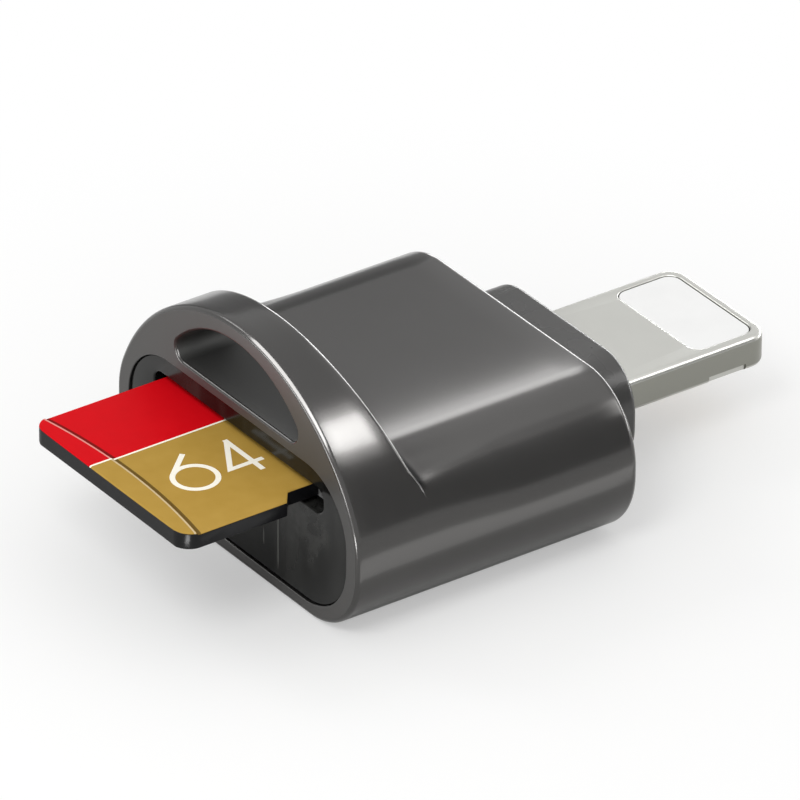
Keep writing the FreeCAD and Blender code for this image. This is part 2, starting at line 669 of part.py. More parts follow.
def make_socket_base():
    """Plastic tray of the card socket: floor, two side walls, an end stop and the contacts' window."""
    body = new_body("socket_base")
    section = new_sketch(body, "XZ_Plane", "section", SOCKET_FRONT)
    polygon(section, [
        (minus(SOCKET_OUTER), BOARD_TOP),
        (SOCKET_OUTER, BOARD_TOP),
        (SOCKET_OUTER, SOCKET_ROOF),
        (SOCKET_INNER, SOCKET_ROOF),
        (SOCKET_INNER, SOCKET_FLOOR),
        (minus(SOCKET_INNER), SOCKET_FLOOR),
        (minus(SOCKET_INNER), SOCKET_ROOF),
        (minus(SOCKET_OUTER), SOCKET_ROOF),
    ])
    pad(body, section, f"{SOCKET_STOP} - ({SOCKET_FRONT})", "section")
    stop = new_sketch(body, "XY_Plane", "stop", BOARD_TOP)
    polygon(stop, [
        (minus(SOCKET_OUTER), SOCKET_STOP),
        (SOCKET_OUTER, SOCKET_STOP),
        (SOCKET_OUTER, f"{SOCKET_STOP} + socket_wall"),
        (minus(SOCKET_OUTER), f"{SOCKET_STOP} + socket_wall"),
    ])
    pad(body, stop, f"{SOCKET_ROOF} - ({BOARD_TOP})", "stop")
    window = new_sketch(body, "XY_Plane", "window", f"{BOARD_TOP} - wall")
    side = "4*pad_pitch"
    polygon(window, [
        (f"{PAD_MIDDLE} - {side}", f"{SPRING_TIP} - spring_foot"),
        (f"{PAD_MIDDLE} + {side}", f"{SPRING_TIP} - spring_foot"),
        (f"{PAD_MIDDLE} + {side}", f"{SPRING_TIP} + spring_reach + card_gap"),
        (f"{PAD_MIDDLE} - {side}", f"{SPRING_TIP} + spring_reach + card_gap"),
    ])
    pocket(body, window, f"{SOCKET_FLOOR} - ({BOARD_TOP}) + wall + socket_floor_gap/2", "window")
    return body



def make_socket_cover():
    """Stamped metal cover of the card socket: a roof with a window and two folded sides."""
    body = new_body("socket_cover")
    section = new_sketch(body, "XZ_Plane", "section", SOCKET_FRONT)
    foot = f"{BOARD_TOP} + cover_skirt"
    polygon(section, [
        (COVER_OUTER, foot),
        (COVER_OUTER, f"{SOCKET_ROOF} + sheet_metal"),
        (minus(COVER_OUTER), f"{SOCKET_ROOF} + sheet_metal"),
        (minus(COVER_OUTER), foot),
        (minus(COVER_INNER), foot),
        (minus(COVER_INNER), SOCKET_ROOF),
        (COVER_INNER, SOCKET_ROOF),
        (COVER_INNER, foot),
    ])
    pad(body, section, f"{SOCKET_STOP} + socket_wall - ({SOCKET_FRONT})", "section")
    roof = number(f"{SOCKET_ROOF} + sheet_metal")
    soften(body, "Fillet", "sheet_metal", "fold",
           lambda middle, along: abs(along.y) > 0.99 and near(middle.z, roof))
    window = new_sketch(body, "XY_Plane", "window", f"{SOCKET_ROOF} - wall/2")
    rounded_rectangle(
        window,
        "card_nose_width - 2*pad_margin",
        f"{SOCKET_FRONT} + card_corner",
        f"{SOCKET_FRONT} + card_corner + pad_length",
        "card_corner",
    )
    pocket(body, window, "wall", "window")
    return body


def make_socket_contacts():
    """Eight sprung contacts of the card socket, each bent from one strip."""
    thick = number("spring_thickness")
    board = number(BOARD_TOP)
    tip = number(SPRING_TIP)
    foot = number(f"{SPRING_TIP} + spring_reach")
    heel = foot - number("spring_foot")
    crest = number(f"{CARD_LEVEL} - spring_gap")
    profile = [
        (foot, board),
        (foot, board + thick),
        (heel, board + thick),
        (tip + thick, crest),
        (tip - thick, crest),
        (tip - 3 * thick, crest - 2 * thick),
        (tip - 2 * thick, crest - 2.5 * thick),
        (tip, crest - thick),
        (heel - thick, board),
    ]
    places = row_of(CONTACTS, number("pad_pitch"), number(PAD_MIDDLE))
    return group("socket_contacts", [strip(profile, x, number("spring_width")) for x in places])


def make_memory_card():
    """Moulded memory card, label side up: one thin body with a side notch, a narrower contact end
    and a raised thumb grip that ends in a curved step. Drawn with its outer end at y = 0."""
    body = new_body("memory_card")
    bind(body, "Placement.Base.y", "0 - body_length/2 - card_out")
    plan = new_sketch(body, "XY_Plane", "plan", CARD_LEVEL)
    left, right = "0 - card_width/2", "card_width/2"
    nose = "card_nose_width - card_width/2"
    notch_end = "notch_start + notch_run"
    polygon(plan, [
        (left, "0"),
        (right, "0"),
        (right, "notch_start"),
        (f"{right} - notch_in", "notch_start + notch_slope"),
        (f"{right} - notch_in", notch_end),
        (right, notch_end),
        (right, f"{notch_end} + tooth_run"),
        (nose, f"{notch_end} + tooth_run + nose_slope"),
        (nose, "card_length"),
        (left, "card_length"),
    ])
    pad(body, plan, "card_thickness + grip_rise", "plan")
    far = number("card_length")
    soften(body, "Fillet", "card_corner", "corners",
           lambda middle, along: abs(along.z) > 0.99 and (near(middle.y, 0) or near(middle.y, far)))

    top = new_sketch(body, "XY_Plane", "top", CARD_TOP)
    reach, bow = number("card_width/2 + wall"), number("grip_arc")
    crest, back = number("grip_length"), number("card_length + wall")
    lean = math.degrees(math.acos(reach / bow))
    side = crest - bow + bow * math.sin(math.radians(lean))
    top.addGeometry([
        arc((0, crest - bow), bow, lean, 180 - lean),
        line((-reach, side), (-reach, back)),
        line((-reach, back), (reach, back)),
        line((reach, back), (reach, side)),
    ])
    top.addGeometry(Part.Point(Vector(0, crest, 0)), True)
    chain(top, 4, "Coincident")
    for upright in (1, 3):
        top.addConstraint(Sketcher.Constraint("Vertical", upright))
    top.addConstraint(Sketcher.Constraint("Symmetric", 2, 1, 2, 2, -2))
    top.addConstraint(Sketcher.Constraint("PointOnObject", 0, 3, -2))
    top.addConstraint(Sketcher.Constraint("PointOnObject", 4, 1, -2))
    top.addConstraint(Sketcher.Constraint("PointOnObject", 4, 1, 0))
    rule(top, "bow", "grip_arc", "Radius", 0)
    rule(top, "crest", "grip_length", "DistanceY", -1, 1, 4, 1)
    rule(top, "back", "card_length + wall", "DistanceY", -1, 1, 2, 1)
    rule(top, "reach", "card_width + 2*wall", "DistanceX", 2, 1, 2, 2)
    pocket(body, top, "grip_rise + wall", "top")

    recess = new_sketch(body, "XY_Plane", "recess", CARD_LEVEL)
    polygon(recess, [
        (f"{PAD_MIDDLE} - 4*pad_pitch", PAD_START),
        (f"{PAD_MIDDLE} + 4*pad_pitch", PAD_START),
        (f"{PAD_MIDDLE} + 4*pad_pitch", f"{PAD_START} + pad_length"),
        (f"{PAD_MIDDLE} - 4*pad_pitch", f"{PAD_START} + pad_length"),
    ])
    pocket(body, recess, "pad_recess", "recess")
    return body


def make_card_contacts():
    """Eight gold pads in the recess on the memory card's underside."""
    size = [number(name) for name in ("pad_width", "pad_length", "pad_thickness")]
    y = number(PAD_START)
    z = number(f"{CARD_LEVEL} + pad_recess - pad_thickness")
    places = row_of(CONTACTS, number("pad_pitch"), number(PAD_MIDDLE))
    pads = [Part.makeBox(*size, Vector(x - size[0] / 2, y, z)) for x in places]
    contacts = group("card_contacts", pads)
    bind(contacts, "Placement.Base.y", "0 - body_length/2 - card_out")
    return contacts


def under_board(label, x, y, along_x, along_y, along_z):
    """A packaged component soldered to the board's underside."""
    box = block(label, x, f"{y} - body_length/2", f"{BOARD_FOOT} - {along_z}", along_x, along_y, along_z)
    box.Label = label
    return box


def make_components():
    """The board's own components: two chips, crystal, regulator, lamp, switch and the small parts."""
    first = f"{INSERT_BACK} + layout_gap"
    made = [
        under_board("controller_chip", "0 - chip_side/2 - layout_gap", first,
                    "chip_side", "chip_side", "chip_height"),
        under_board("power_regulator", "regulator_length/2 - chip_side - layout_gap",
                    f"{first} + chip_side + layout_gap",
                    "regulator_length", "regulator_width", "regulator_height"),
        under_board("interface_chip", "chip_part_length + bridge_side/2", first,
                    "bridge_side", "bridge_side", "bridge_height"),
        under_board("crystal", "chip_part_length + crystal_length/2", f"{first} + bridge_side + layout_gap",
                    "crystal_length", "crystal_width", "crystal_height"),
        under_board("indicator_lamp", f"{BODY_HALF} - wall - board_gap - board_corner - lamp_length/2", INSERT_BACK,
                    "lamp_length", "lamp_width", "lamp_height"),
    ]
    switch = block("detect_switch", f"{COVER_OUTER} + card_gap + switch_width/2",
                   f"{SOCKET_FRONT} + layout_gap - body_length/2", BOARD_TOP,
                   "switch_width", "switch_length", "switch_height")
    switch.Label = "detect_switch"
    made.append(switch)

    long_side, short_side = number("chip_part_length"), number("chip_part_width")
    start, foot = number(first), number(BOARD_FOOT)
    columns = (
        ("resistors", number("chip_part_length/2 - layout_gap/2 - chip_part_width/2"), "resistor_height"),
        ("capacitors", number("chip_part_length + crystal_length + layout_gap + chip_part_length/2"),
         "capacitor_height"),
    )
    for label, x, height in columns:
        tall = number(height)
        solids = []
        for index in range(5):
            corner = Vector(x - long_side / 2, start + index * number("chip_part_pitch"), foot - tall)
            solids.append(Part.makeBox(long_side, short_side, tall, corner))
        made.append(group(label, solids))
    return made


pins = pin_shapes()
subparts = [
    make_housing(),
    make_front_insert(),
    make_rear_collar(),
    make_plug_shell(),
    make_plug_core(pins),
    group("plug_contacts", pins),
    make_main_board(),
    make_socket_base(),
    make_socket_cover(),
    make_socket_contacts(),
    make_memory_card(),
    make_card_contacts(),
    *make_components(),
]
doc.recompute()

for item in doc.Objects:
    if "Invalid" in item.State or "Error" in item.State:
        raise RuntimeError(f"{item.Name} failed: {item.State}")
for item in subparts:
    if item.Shape.isNull() or not item.Shape.isValid() or not item.Shape.Solids:
        raise RuntimeError(f"{item.Label} is not a sound solid")

os.makedirs("parts", exist_ok=True)
for item in subparts:
    item.Shape.exportStep(f"parts/{item.Label}.step")
    box = item.Shape.BoundBox
    print(f"{item.Label:18s} solids {len(item.Shape.Solids):2d} volume {item.Shape.Volume:9.3f}"
          f"  x {box.XMin:7.2f} {box.XMax:7.2f}  y {box.YMin:7.2f} {box.YMax:7.2f}"
          f"  z {box.ZMin:7.2f} {box.ZMax:7.2f}")
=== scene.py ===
"""Looks of a memory card reader for phones: a metal housing with a key-ring arch, a smoky front
plate, an eight-contact plug and a memory card that slides in its slot."""

import math

import bmesh
import bpy
import numpy as np
from mathutils import Matrix, Vector


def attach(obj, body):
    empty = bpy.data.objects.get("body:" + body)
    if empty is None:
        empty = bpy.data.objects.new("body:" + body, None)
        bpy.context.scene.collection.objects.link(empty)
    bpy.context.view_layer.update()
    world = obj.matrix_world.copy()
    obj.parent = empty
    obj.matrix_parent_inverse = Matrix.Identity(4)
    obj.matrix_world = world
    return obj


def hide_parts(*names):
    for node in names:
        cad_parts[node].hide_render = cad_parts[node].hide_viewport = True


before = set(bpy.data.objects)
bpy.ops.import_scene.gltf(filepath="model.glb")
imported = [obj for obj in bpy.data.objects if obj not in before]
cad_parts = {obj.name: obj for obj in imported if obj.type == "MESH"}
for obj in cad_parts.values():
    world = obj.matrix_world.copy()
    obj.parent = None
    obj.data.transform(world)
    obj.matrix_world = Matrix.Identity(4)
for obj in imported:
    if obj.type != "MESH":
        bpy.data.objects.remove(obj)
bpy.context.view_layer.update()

# Housing: one die-cast shell, an oval barrel whose card end rises into an arch with a half-moon
# hole for a key ring. Cast zinc, polished smooth and plated a dark gun-metal grey.
MM = 0.001
WELD, HAIR, CLEAR = 0.0005, 0.001, 1.0
QUARTER = np.radians(np.linspace(0, 90, 7))


def arc(middle, radius, start, end, count):
    """Points on a circle: the middle plus the radius times the cosine and sine of even angles."""
    turn = np.radians(np.linspace(start, end, count))
    return np.stack([middle[0] + radius * np.cos(turn), middle[1] + radius * np.sin(turn)], axis=1)


def oval(left, right, low, high, radii, count):
    """A rectangle with round corners, run round to the left of travel: four quarter circles, low
    right, high right, high left and low left, joined by the straight lines between their ends."""
    turns = ((right, low, 1, -1), (right, high, 1, 1), (left, high, -1, 1), (left, low, -1, -1))
    corners = [
        arc((x - side * radius, z - rise * radius), radius, angle, angle + 90, count)
        for (x, z, side, rise), radius, angle in zip(turns, radii, (270, 0, 90, 180))
    ]
    return np.concatenate(corners)


def swelling(half, low, high, radius, count):
    """An even oval about the middle line, as a function of its growth: the sides, the levels and
    the corner radius all move outwards by the growth, or inwards where it is negative."""
    return lambda grow: oval(
        -half - grow, half + grow, low - grow, high + grow, [radius + grow] * 4, count
    )


def outer_edge(outline, face, inwards, radius):
    """Rows round an outer edge, from the side to the face: the outline shrinks by the radius less
    its cosine leg, and lies inside the face by the radius less its sine leg."""
    return [
        (outline(-radius * (1 - np.cos(turn))), face + inwards * radius * (1 - np.sin(turn)))
        for turn in QUARTER
    ]


def mouth_edge(outline, face, inwards, radius):
    """Rows round the edge of a hole, from the face into the hole: the outline grows by the radius
    less its sine leg, and lies inside the face by the radius less its cosine leg."""
    return [
        (outline(radius * (1 - np.sin(turn))), face + inwards * radius * (1 - np.cos(turn)))
        for turn in QUARTER
    ]


def stack(rows, axis):
    """A grid from flat rings: a row is a ring and its level along the axis, y for 1 and z for 2.
    The level is one number for the whole ring or one for each of its points."""
    rings = np.array([ring for ring, level in rows])
    levels = np.array([np.broadcast_to(level, len(ring)) for ring, level in rows])
    flat = [rings[..., 0], rings[..., 1]]
    flat.insert(axis, levels)
    return np.stack(flat, axis=2)


def skin(name, grid, endless=False):
    """A closed mesh over a grid of rows, columns and x, y, z in millimetres. Every row is a closed
    ring and neighbour rows are joined by quads. The last row meets the first one if endless, and
    otherwise one flat face fills each of the two end rows."""
    rows, columns = grid.shape[:2]
    index = np.arange(rows * columns).reshape(rows, columns)
    if endless:
        index = np.vstack([index, index[:1]])
    beside = np.roll(index, -1, axis=1)
    quads = np.stack([index[:-1], index[1:], beside[1:], beside[:-1]], axis=2)
    faces = quads.reshape(-1, 4).tolist()
    if not endless:
        faces += [index[0].tolist(), index[-1][::-1].tolist()]
    mesh = bpy.data.meshes.new(name)
    mesh.from_pydata((grid.reshape(-1, 3) * MM).tolist(), [], faces)
    shape = bmesh.new()
    shape.from_mesh(mesh)
    bmesh.ops.remove_doubles(shape, verts=shape.verts, dist=WELD * MM)
    bmesh.ops.dissolve_degenerate(shape, edges=shape.edges, dist=WELD * MM)
    bmesh.ops.recalc_face_normals(shape, faces=shape.faces)
    shape.to_mesh(mesh)
    shape.free()
    piece = bpy.data.objects.new(name, mesh)
    bpy.context.scene.collection.objects.link(piece)
    return piece


def bar(name, ring, start, end, axis):
    """A straight bar: the same ring at a start and at an end along the axis."""
    return skin(name, stack([(ring, start), (ring, end)], axis))


def carve(piece, operation, *tools):
    """Joins each tool to the piece or takes it out of the piece, and removes the tool."""
    for tool in tools:
        step = piece.modifiers.new("carve", "BOOLEAN")
        step.operation, step.solver, step.object = operation, "EXACT", tool
        shaped = piece.evaluated_get(bpy.context.evaluated_depsgraph_get())
        mesh = bpy.data.meshes.new_from_object(shaped)
        piece.modifiers.clear()
        piece.data = mesh
        mesh.name = piece.name
        bpy.data.objects.remove(tool)


def smooth(piece, degrees=32):
    """Smooth shading that breaks at edges sharper than the angle, weighted by face area."""
    piece.data.shade_smooth()
    piece.data.set_sharp_from_angle(angle=math.radians(degrees))
    weighted = piece.modifiers.new("normals", "WEIGHTED_NORMAL")
    weighted.keep_sharp = True


FRONT, REAR = -7.0, 7.0
HALF_WIDTH, TOP, CORNER = 8.6, 7.2, 3.4
SPLIT = TOP - CORNER
SHOULDER_MIDDLE, SHOULDER_RADIUS, SHOULDER_TURN = (4.8, 4.1), 3.8, 23.45
CROWN_LEVEL, CROWN_RADIUS = 2.018, 9.032
CROWN_DEPTH, FOOT_DEPTH, SLANT_TOP, SLANT_FALL = 1.85, 5.55, 11.75, 12.45
ARCH_EDGE, REAR_EDGE, CREASE = 0.22, 0.35, 0.12
EDGE_SHARE, CREASE_SHARE = 0.5, 0.3
STEP_FULL, STEP_GONE, RAMP, SPREAD = 0.85, 0.12, 5.0, 0.1
STATIONS = (0.25, 0.5, 0.75, 1.0)

shoulder = arc(SHOULDER_MIDDLE, SHOULDER_RADIUS, 0, SHOULDER_TURN, count=30)
crown = arc((0, CROWN_LEVEL), CROWN_RADIUS, SHOULDER_TURN, 90, count=120)
arch_right = np.concatenate([[[HALF_WIDTH, SPLIT]], shoulder, crown])
barrel_bend = arc((HALF_WIDTH - CORNER, SPLIT), CORNER, 0, 90, count=120)
barrel_right = np.concatenate([barrel_bend, [[0, TOP]]])
under = np.concatenate([
    arc((CORNER - HALF_WIDTH, CORNER), CORNER, 180, 270, count=24),
    arc((HALF_WIDTH - CORNER, CORNER), CORNER, 270, 360, count=24),
])


def round_over(right_half):
    """The right half of an outline, its mirror image and the shared underside, as one ring. The
    half's points stand at even angles about the middle of the level where the outlines part."""
    angle = np.arctan2(right_half[:, 1] - SPLIT, right_half[:, 0])
    places = np.linspace(0, math.pi / 2, num=128)
    half = np.stack([np.interp(places, angle, right_half[:, axis]) for axis in (0, 1)], axis=1)
    mirror = half[::-1][1:] * (-1, 1)
    return np.concatenate([half, mirror, under])


def outward(ring):
    """Unit normals of a closed ring that runs round to its left: each point's tangent, from the
    neighbour before it to the one after it, turned a quarter turn to the right."""
    ahead = np.roll(ring, -1, axis=0) - np.roll(ring, 1, axis=0)
    ahead /= np.linalg.norm(ahead, axis=1)[:, None]
    return np.stack([ahead[:, 1], -ahead[:, 0]], axis=1)


def slant(height):
    """The arch's sloping back: its depth grows in step with the distance below the crown."""
    return FRONT + CROWN_DEPTH + (FOOT_DEPTH - CROWN_DEPTH) / SLANT_FALL * (SLANT_TOP - height)


def smooth_rise(share):
    """A soft start and a soft end from 0 to 1: the share squared times three less twice itself."""
    return share * share * (3 - 2 * share)


def housing_grid():
    """Rows from the front face's rim to the rear face's rim: round the front edge, along the arch,
    round its rear edge, down the sloping back, round the hollow crease, along the barrel and round
    the rear edge. A column is one place on the outline. Where arch and barrel are little apart the
    step between them dies away, its rows spread out along the side, and a long ramp along the
    barrel takes up the rest."""
    arch, barrel = round_over(arch_right), round_over(barrel_right)
    off_arch, off_barrel = outward(arch), outward(barrel)
    apart = np.linalg.norm(arch - barrel, axis=1)
    full = smooth_rise(np.clip((apart - STEP_GONE) / (STEP_FULL - STEP_GONE), 0, 1))
    edge = np.minimum(ARCH_EDGE, apart * full * EDGE_SHARE)[:, None]
    hollow = np.minimum(CREASE, apart * full * CREASE_SHARE)[:, None]
    foot = arch + (barrel - arch) * full[:, None]
    high, low = arch - off_arch * edge, foot + off_barrel * hollow
    front_end, back_end = FRONT + ARCH_EDGE, slant(arch[:, 1]) - edge[:, 0]
    start, end = slant(foot[:, 1]) + hollow[:, 0] + SPREAD * (1 - full), REAR - REAR_EDGE

    step = [
        (arch - off_arch * edge * (1 - np.cos(turn)), -edge[:, 0] * (1 - np.sin(turn)))
        for turn in QUARTER[1:]
    ]
    step += [(high + (low - high) * share, 0) for share in STATIONS[:-1]]
    step += [
        (foot + off_barrel * hollow * (1 - np.sin(turn)), hollow[:, 0] * (1 - np.cos(turn)))
        for turn in QUARTER
    ]

    rows = [
        (arch - off_arch * ARCH_EDGE * (1 - np.sin(turn)), FRONT + ARCH_EDGE * (1 - np.cos(turn)))
        for turn in QUARTER
    ]
    rows += [(arch, front_end + (back_end - front_end) * share) for share in STATIONS]
    rows += [
        (ring, slant(ring[:, 1]) + shift + SPREAD * (1 - full) * order / len(step))
        for order, (ring, shift) in enumerate(step, 1)
    ]
    rows += [
        (foot + (barrel - foot) * smooth_rise(share), start + RAMP * share)
        for share in np.linspace(0.1, 1.0, num=10)
    ]
    rows += [(barrel, start + RAMP + (end - start - RAMP) * share) for share in STATIONS]
    rows += [
        (barrel - off_barrel * REAR_EDGE * (1 - np.cos(turn)), end + REAR_EDGE * np.sin(turn))
        for turn in QUARTER[1:]
    ]
    return stack(rows, 1)


MOON_CORNER, MOON_CORNER_RADIUS, MOON_TURN = (3.774, 8.1), 0.55, 44.04
MOON_LEVEL, MOON_RADIUS = 4.45, 5.8
LOOP_LIP, PROUD = 0.14, 0.003


def half_moon(grow):
    """A flat floor, two small corner rounds and one wide crown, all grown outwards alike."""
    side = arc(MOON_CORNER, MOON_CORNER_RADIUS + grow, -90, MOON_TURN, count=18)
    wide = arc((0, MOON_LEVEL), MOON_RADIUS + grow, MOON_TURN, 180 - MOON_TURN, count=72)
    return np.concatenate([side, wide[1:-1], side[::-1] * (-1, 1)])


def loop_grid():
    """The loop's cutter: the half-moon with a round mouth at the front face and another at the
    sloping back, a little proud of both, and carried on well clear of them."""
    front = mouth_edge(half_moon, FRONT - PROUD, 1, LOOP_LIP)
    back = [
        (ring, slant(ring[:, 1]) + PROUD + depth)
        for ring, depth in mouth_edge(half_moon, 0, -1, LOOP_LIP)[::-1]
    ]
    (first, near), (last, far) = front[0], back[-1]
    return stack([(first, near - CLEAR)] + front + back + [(last, far + CLEAR)], 1)


def flared(outline, wide, near, far, lip):
    """A cutter along y whose mouth rounds the edge that it leaves: wide and well clear of the near
    face, then grown by the lip just outside it, round the mouth's edge and straight to the end."""
    away = math.copysign(1.0, far - near)
    rows = [(outline(wide), near - away * CLEAR), (outline(lip), near - away * HAIR)]
    rows += mouth_edge(outline, near, away, lip) + [(outline(0), far)]
    return stack(rows, 1)


insert_mouth = swelling(half=7.75, low=0.62, high=7.05, radius=2.85, count=24)
collar_mouth = swelling(half=5.13, low=0.87, high=6.03, radius=2.23, count=20)
inside = swelling(half=7.9, low=0.7, high=6.5, radius=2.4, count=14)(0)
housing = skin("housing_shell", housing_grid())
carve(
    housing,
    "DIFFERENCE",
    skin("loop_cutter", loop_grid()),
    skin("insert_cutter", flared(insert_mouth, wide=0.06, near=FRONT, far=-5.3, lip=0.05)),
    bar("inside_cutter", inside, start=-5.35, end=6.0, axis=1),
    skin("collar_cutter", flared(collar_mouth, wide=0.1, near=REAR, far=5.9, lip=0.1)),
)
smooth(housing)


class Field:
    """One socket of a material's nodes. Arithmetic on it adds Math nodes, node() adds any other."""

    def __init__(self, tree, socket=None):
        self.tree, self.socket = tree, socket

    def node(self, kind, settings=None, inputs=None, output=0):
        """A new node: its settings first, then each socket gets a number or another field."""
        made = self.tree.nodes.new(kind)
        for key, value in (settings or {}).items():
            setattr(made, key, value)
        for key, value in (inputs or {}).items():
            if isinstance(value, Field):
                self.tree.links.new(value.socket, made.inputs[key])
            else:
                made.inputs[key].default_value = value
        return Field(self.tree, made.outputs[output]) if len(made.outputs) else made

    def math(self, operation, *values):
        """One Math node on these values, which are numbers or fields."""
        return self.node("ShaderNodeMath", {"operation": operation}, dict(enumerate(values)))

    def __add__(self, other):
        return self.math("ADD", self, other)

    __radd__ = __add__

    def __sub__(self, other):
        return self.math("SUBTRACT", self, other)

    def __rsub__(self, other):
        return self.math("SUBTRACT", other, self)

    def __mul__(self, other):
        return self.math("MULTIPLY", self, other)

    __rmul__ = __mul__

    def __gt__(self, other):
        return self.math("GREATER_THAN", self, other)

    def __lt__(self, other):
        return self.math("LESS_THAN", self, other)

    def within(self, middle, half):
        """1 where the field is less than half away from the middle, and 0 elsewhere."""
        return self.math("ABSOLUTE", self - middle) < half

    def ease(self, low, high):
        """0 at low and below, 1 at high and above, and a smooth rise between them."""
        ends = {"Value": self, "From Min": low, "From Max": high}
        return self.node("ShaderNodeMapRange", {"interpolation_type": "SMOOTHSTEP"}, ends)

    def blend(self, low, high):
        """A colour between two, with this field as the share of the second one. The Mix node's
        colour sockets are numbered, because its sockets share their names."""
        return self.node("ShaderNodeMix", {"data_type": "RGBA"}, {0: self, 6: low, 7: high}, 2)


def tint(red, green, blue):
    """A colour written as it shows on a screen, 0 to 255, turned into the light it stands for."""
    share = np.array([red, green, blue]) / 255
    light = np.where(share > 0.04045, ((share + 0.055) / 1.055) ** 2.4, share / 12.92)
    return (*light.tolist(), 1.0)


class Finish:
    """A material in the making: its nodes, and the point's place on the piece in millimetres."""

    def __init__(self, name):
        self.material = bpy.data.materials.new(name)
        self.material.use_nodes = True
        self.material.node_tree.nodes.clear()
        self.start = Field(self.material.node_tree)
        place = self.start.node("ShaderNodeTexCoord", output="Object")
        self.place = self.start.node(
            "ShaderNodeVectorMath", {"operation": "SCALE"}, {0: place, "Scale": 1 / MM}
        )

    def axis(self, letter):
        """The point's place along one axis, in millimetres."""
        return self.start.node("ShaderNodeSeparateXYZ", None, {0: self.place}, letter)

    def facing(self, letter):
        """The surface normal's share along one axis, from -1 to 1."""
        normal = self.start.node("ShaderNodeNewGeometry", output="Normal")
        return self.start.node("ShaderNodeSeparateXYZ", None, {0: normal}, letter)

    def grain(self, scale, detail=2.0, stretch=(1, 1, 1)):
        """Even random clouds from 0 to 1, scale of them to the millimetre, stretched by axis."""
        vector = self.start.node(
            "ShaderNodeMapping", None, {"Vector": self.place, "Scale": stretch}
        )
        return self.start.node(
            "ShaderNodeTexNoise", None, {"Vector": vector, "Scale": scale, "Detail": detail}
        )

    def bump(self, height, depth):
        """A surface normal tilted by a height field of that depth in millimetres."""
        return self.start.node("ShaderNodeBump", None, {"Height": height, "Distance": depth * MM})

    def done(self, **sockets):
        """The principled surface with its sockets by name, underscores for spaces."""
        named = {key.replace("_", " "): value for key, value in sockets.items()}
        surface = self.start.node("ShaderNodeBsdfPrincipled", None, named)
        self.start.node("ShaderNodeOutputMaterial", None, {"Surface": surface})
        return self.material


def dress(piece, material):
    """Puts one material on every slot of the piece."""
    if piece.material_slots:
        for place in piece.material_slots:
            place.material = material
    else:
        piece.data.materials.append(material)


LOOP_FLOOR, LOOP_REACH, LOOP_SKIN = 7.4, 8.6, 0.12
LIP_LEVEL, LIP_GAIN, FACE_SKIN = 8.0, 0.11, 0.004
CREASE_SHADE_START, CREASE_SHADE_FADE, CREASE_SHADE_RISE = 0.02, (0.16, 0.4), (5.9, 6.4)

gunmetal = Finish("gunmetal_plating")
cloud = gunmetal.grain(scale=0.35)
across, along, height = (gunmetal.axis(letter) for letter in "XYZ")
above_middle = height - CROWN_LEVEL
from_middle = gunmetal.start.math("SQRT", across * across + above_middle * above_middle)
behind_face = along > FRONT + LOOP_SKIN - LIP_GAIN * (height > LIP_LEVEL)
before_back = along < slant(height) - LOOP_SKIN
# Painted shade: inside the key-ring hole the walls get a flat darker grey, and they are also
# rougher and uncoated.
in_shaded_loop = behind_face * before_back * (height > LOOP_FLOOR) * (from_middle < LOOP_REACH)
on_face = along < FRONT + FACE_SKIN
# Painted shade: a near-black band on the barrel just behind the arch's sloping back stands in for
# the shadow in the crease, and it fades out towards the crease's lower end.
past_step = along - slant(height)
crease_shade = (past_step > CREASE_SHADE_START) * (1 - past_step.ease(*CREASE_SHADE_FADE))
crease_shade = crease_shade * height.ease(*CREASE_SHADE_RISE)
plating = cloud.blend(tint(70, 69, 68), tint(74, 73, 72))
crease_shaded = crease_shade.blend(plating, tint(10, 10, 10))
# Painted light: the front face gets a lighter grey than the plating, and it is also rougher and
# uncoated.
face_lightened = on_face.blend(crease_shaded, tint(82, 81, 80))
dress(housing, gunmetal.done(
    Base_Color=in_shaded_loop.blend(face_lightened, tint(62, 62, 61)),
    Metallic=0.8,
    Roughness=0.2 + 0.03 * cloud + 0.4 * in_shaded_loop + 0.28 * on_face,
    Coat_Weight=0.2 - 0.2 * in_shaded_loop - 0.2 * on_face,
    Coat_Roughness=0.12,
))
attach(housing, "reader")
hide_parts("housing")

# Front plate: a smoky, nearly black acrylic plate pressed into the housing's card end, a little
# behind its rim. The card's slot passes through it. Injection moulded, with a polished face.
PLATE_FACE, PLATE_BACK, PLATE_EDGE, SLOT_EDGE = -6.9, -5.3, 0.04, 0.1
plate_outline = swelling(half=7.72, low=0.65, high=7.02, radius=2.82, count=20)
slot_outline = swelling(half=6.0, low=5.025, high=6.175, radius=0.5, count=20)
plate_rows = [(plate_outline(0), PLATE_BACK)]
plate_rows += outer_edge(plate_outline, PLATE_FACE, 1, PLATE_EDGE)
plate_rows += mouth_edge(slot_outline, PLATE_FACE, 1, SLOT_EDGE)
plate_rows += [(slot_outline(0), PLATE_BACK)]
plate = skin("front_plate", stack(plate_rows, 1), endless=True)
smooth(plate)

GATE_X, GATE_Z, GATE_FADE = 5.0, 3.7, (0.5, 3.6)

smoke = Finish("smoky_acrylic")
sideways, upwards = smoke.axis("X"), smoke.axis("Z")


def flow_line(place, half, fade_in, fade_out):
    """A thin upright line where two flows of the melt met: it fades in and out by height."""
    line = sideways.within(place, half)
    return line * upwards.ease(*fade_in) * (1 - upwards.ease(*fade_out))


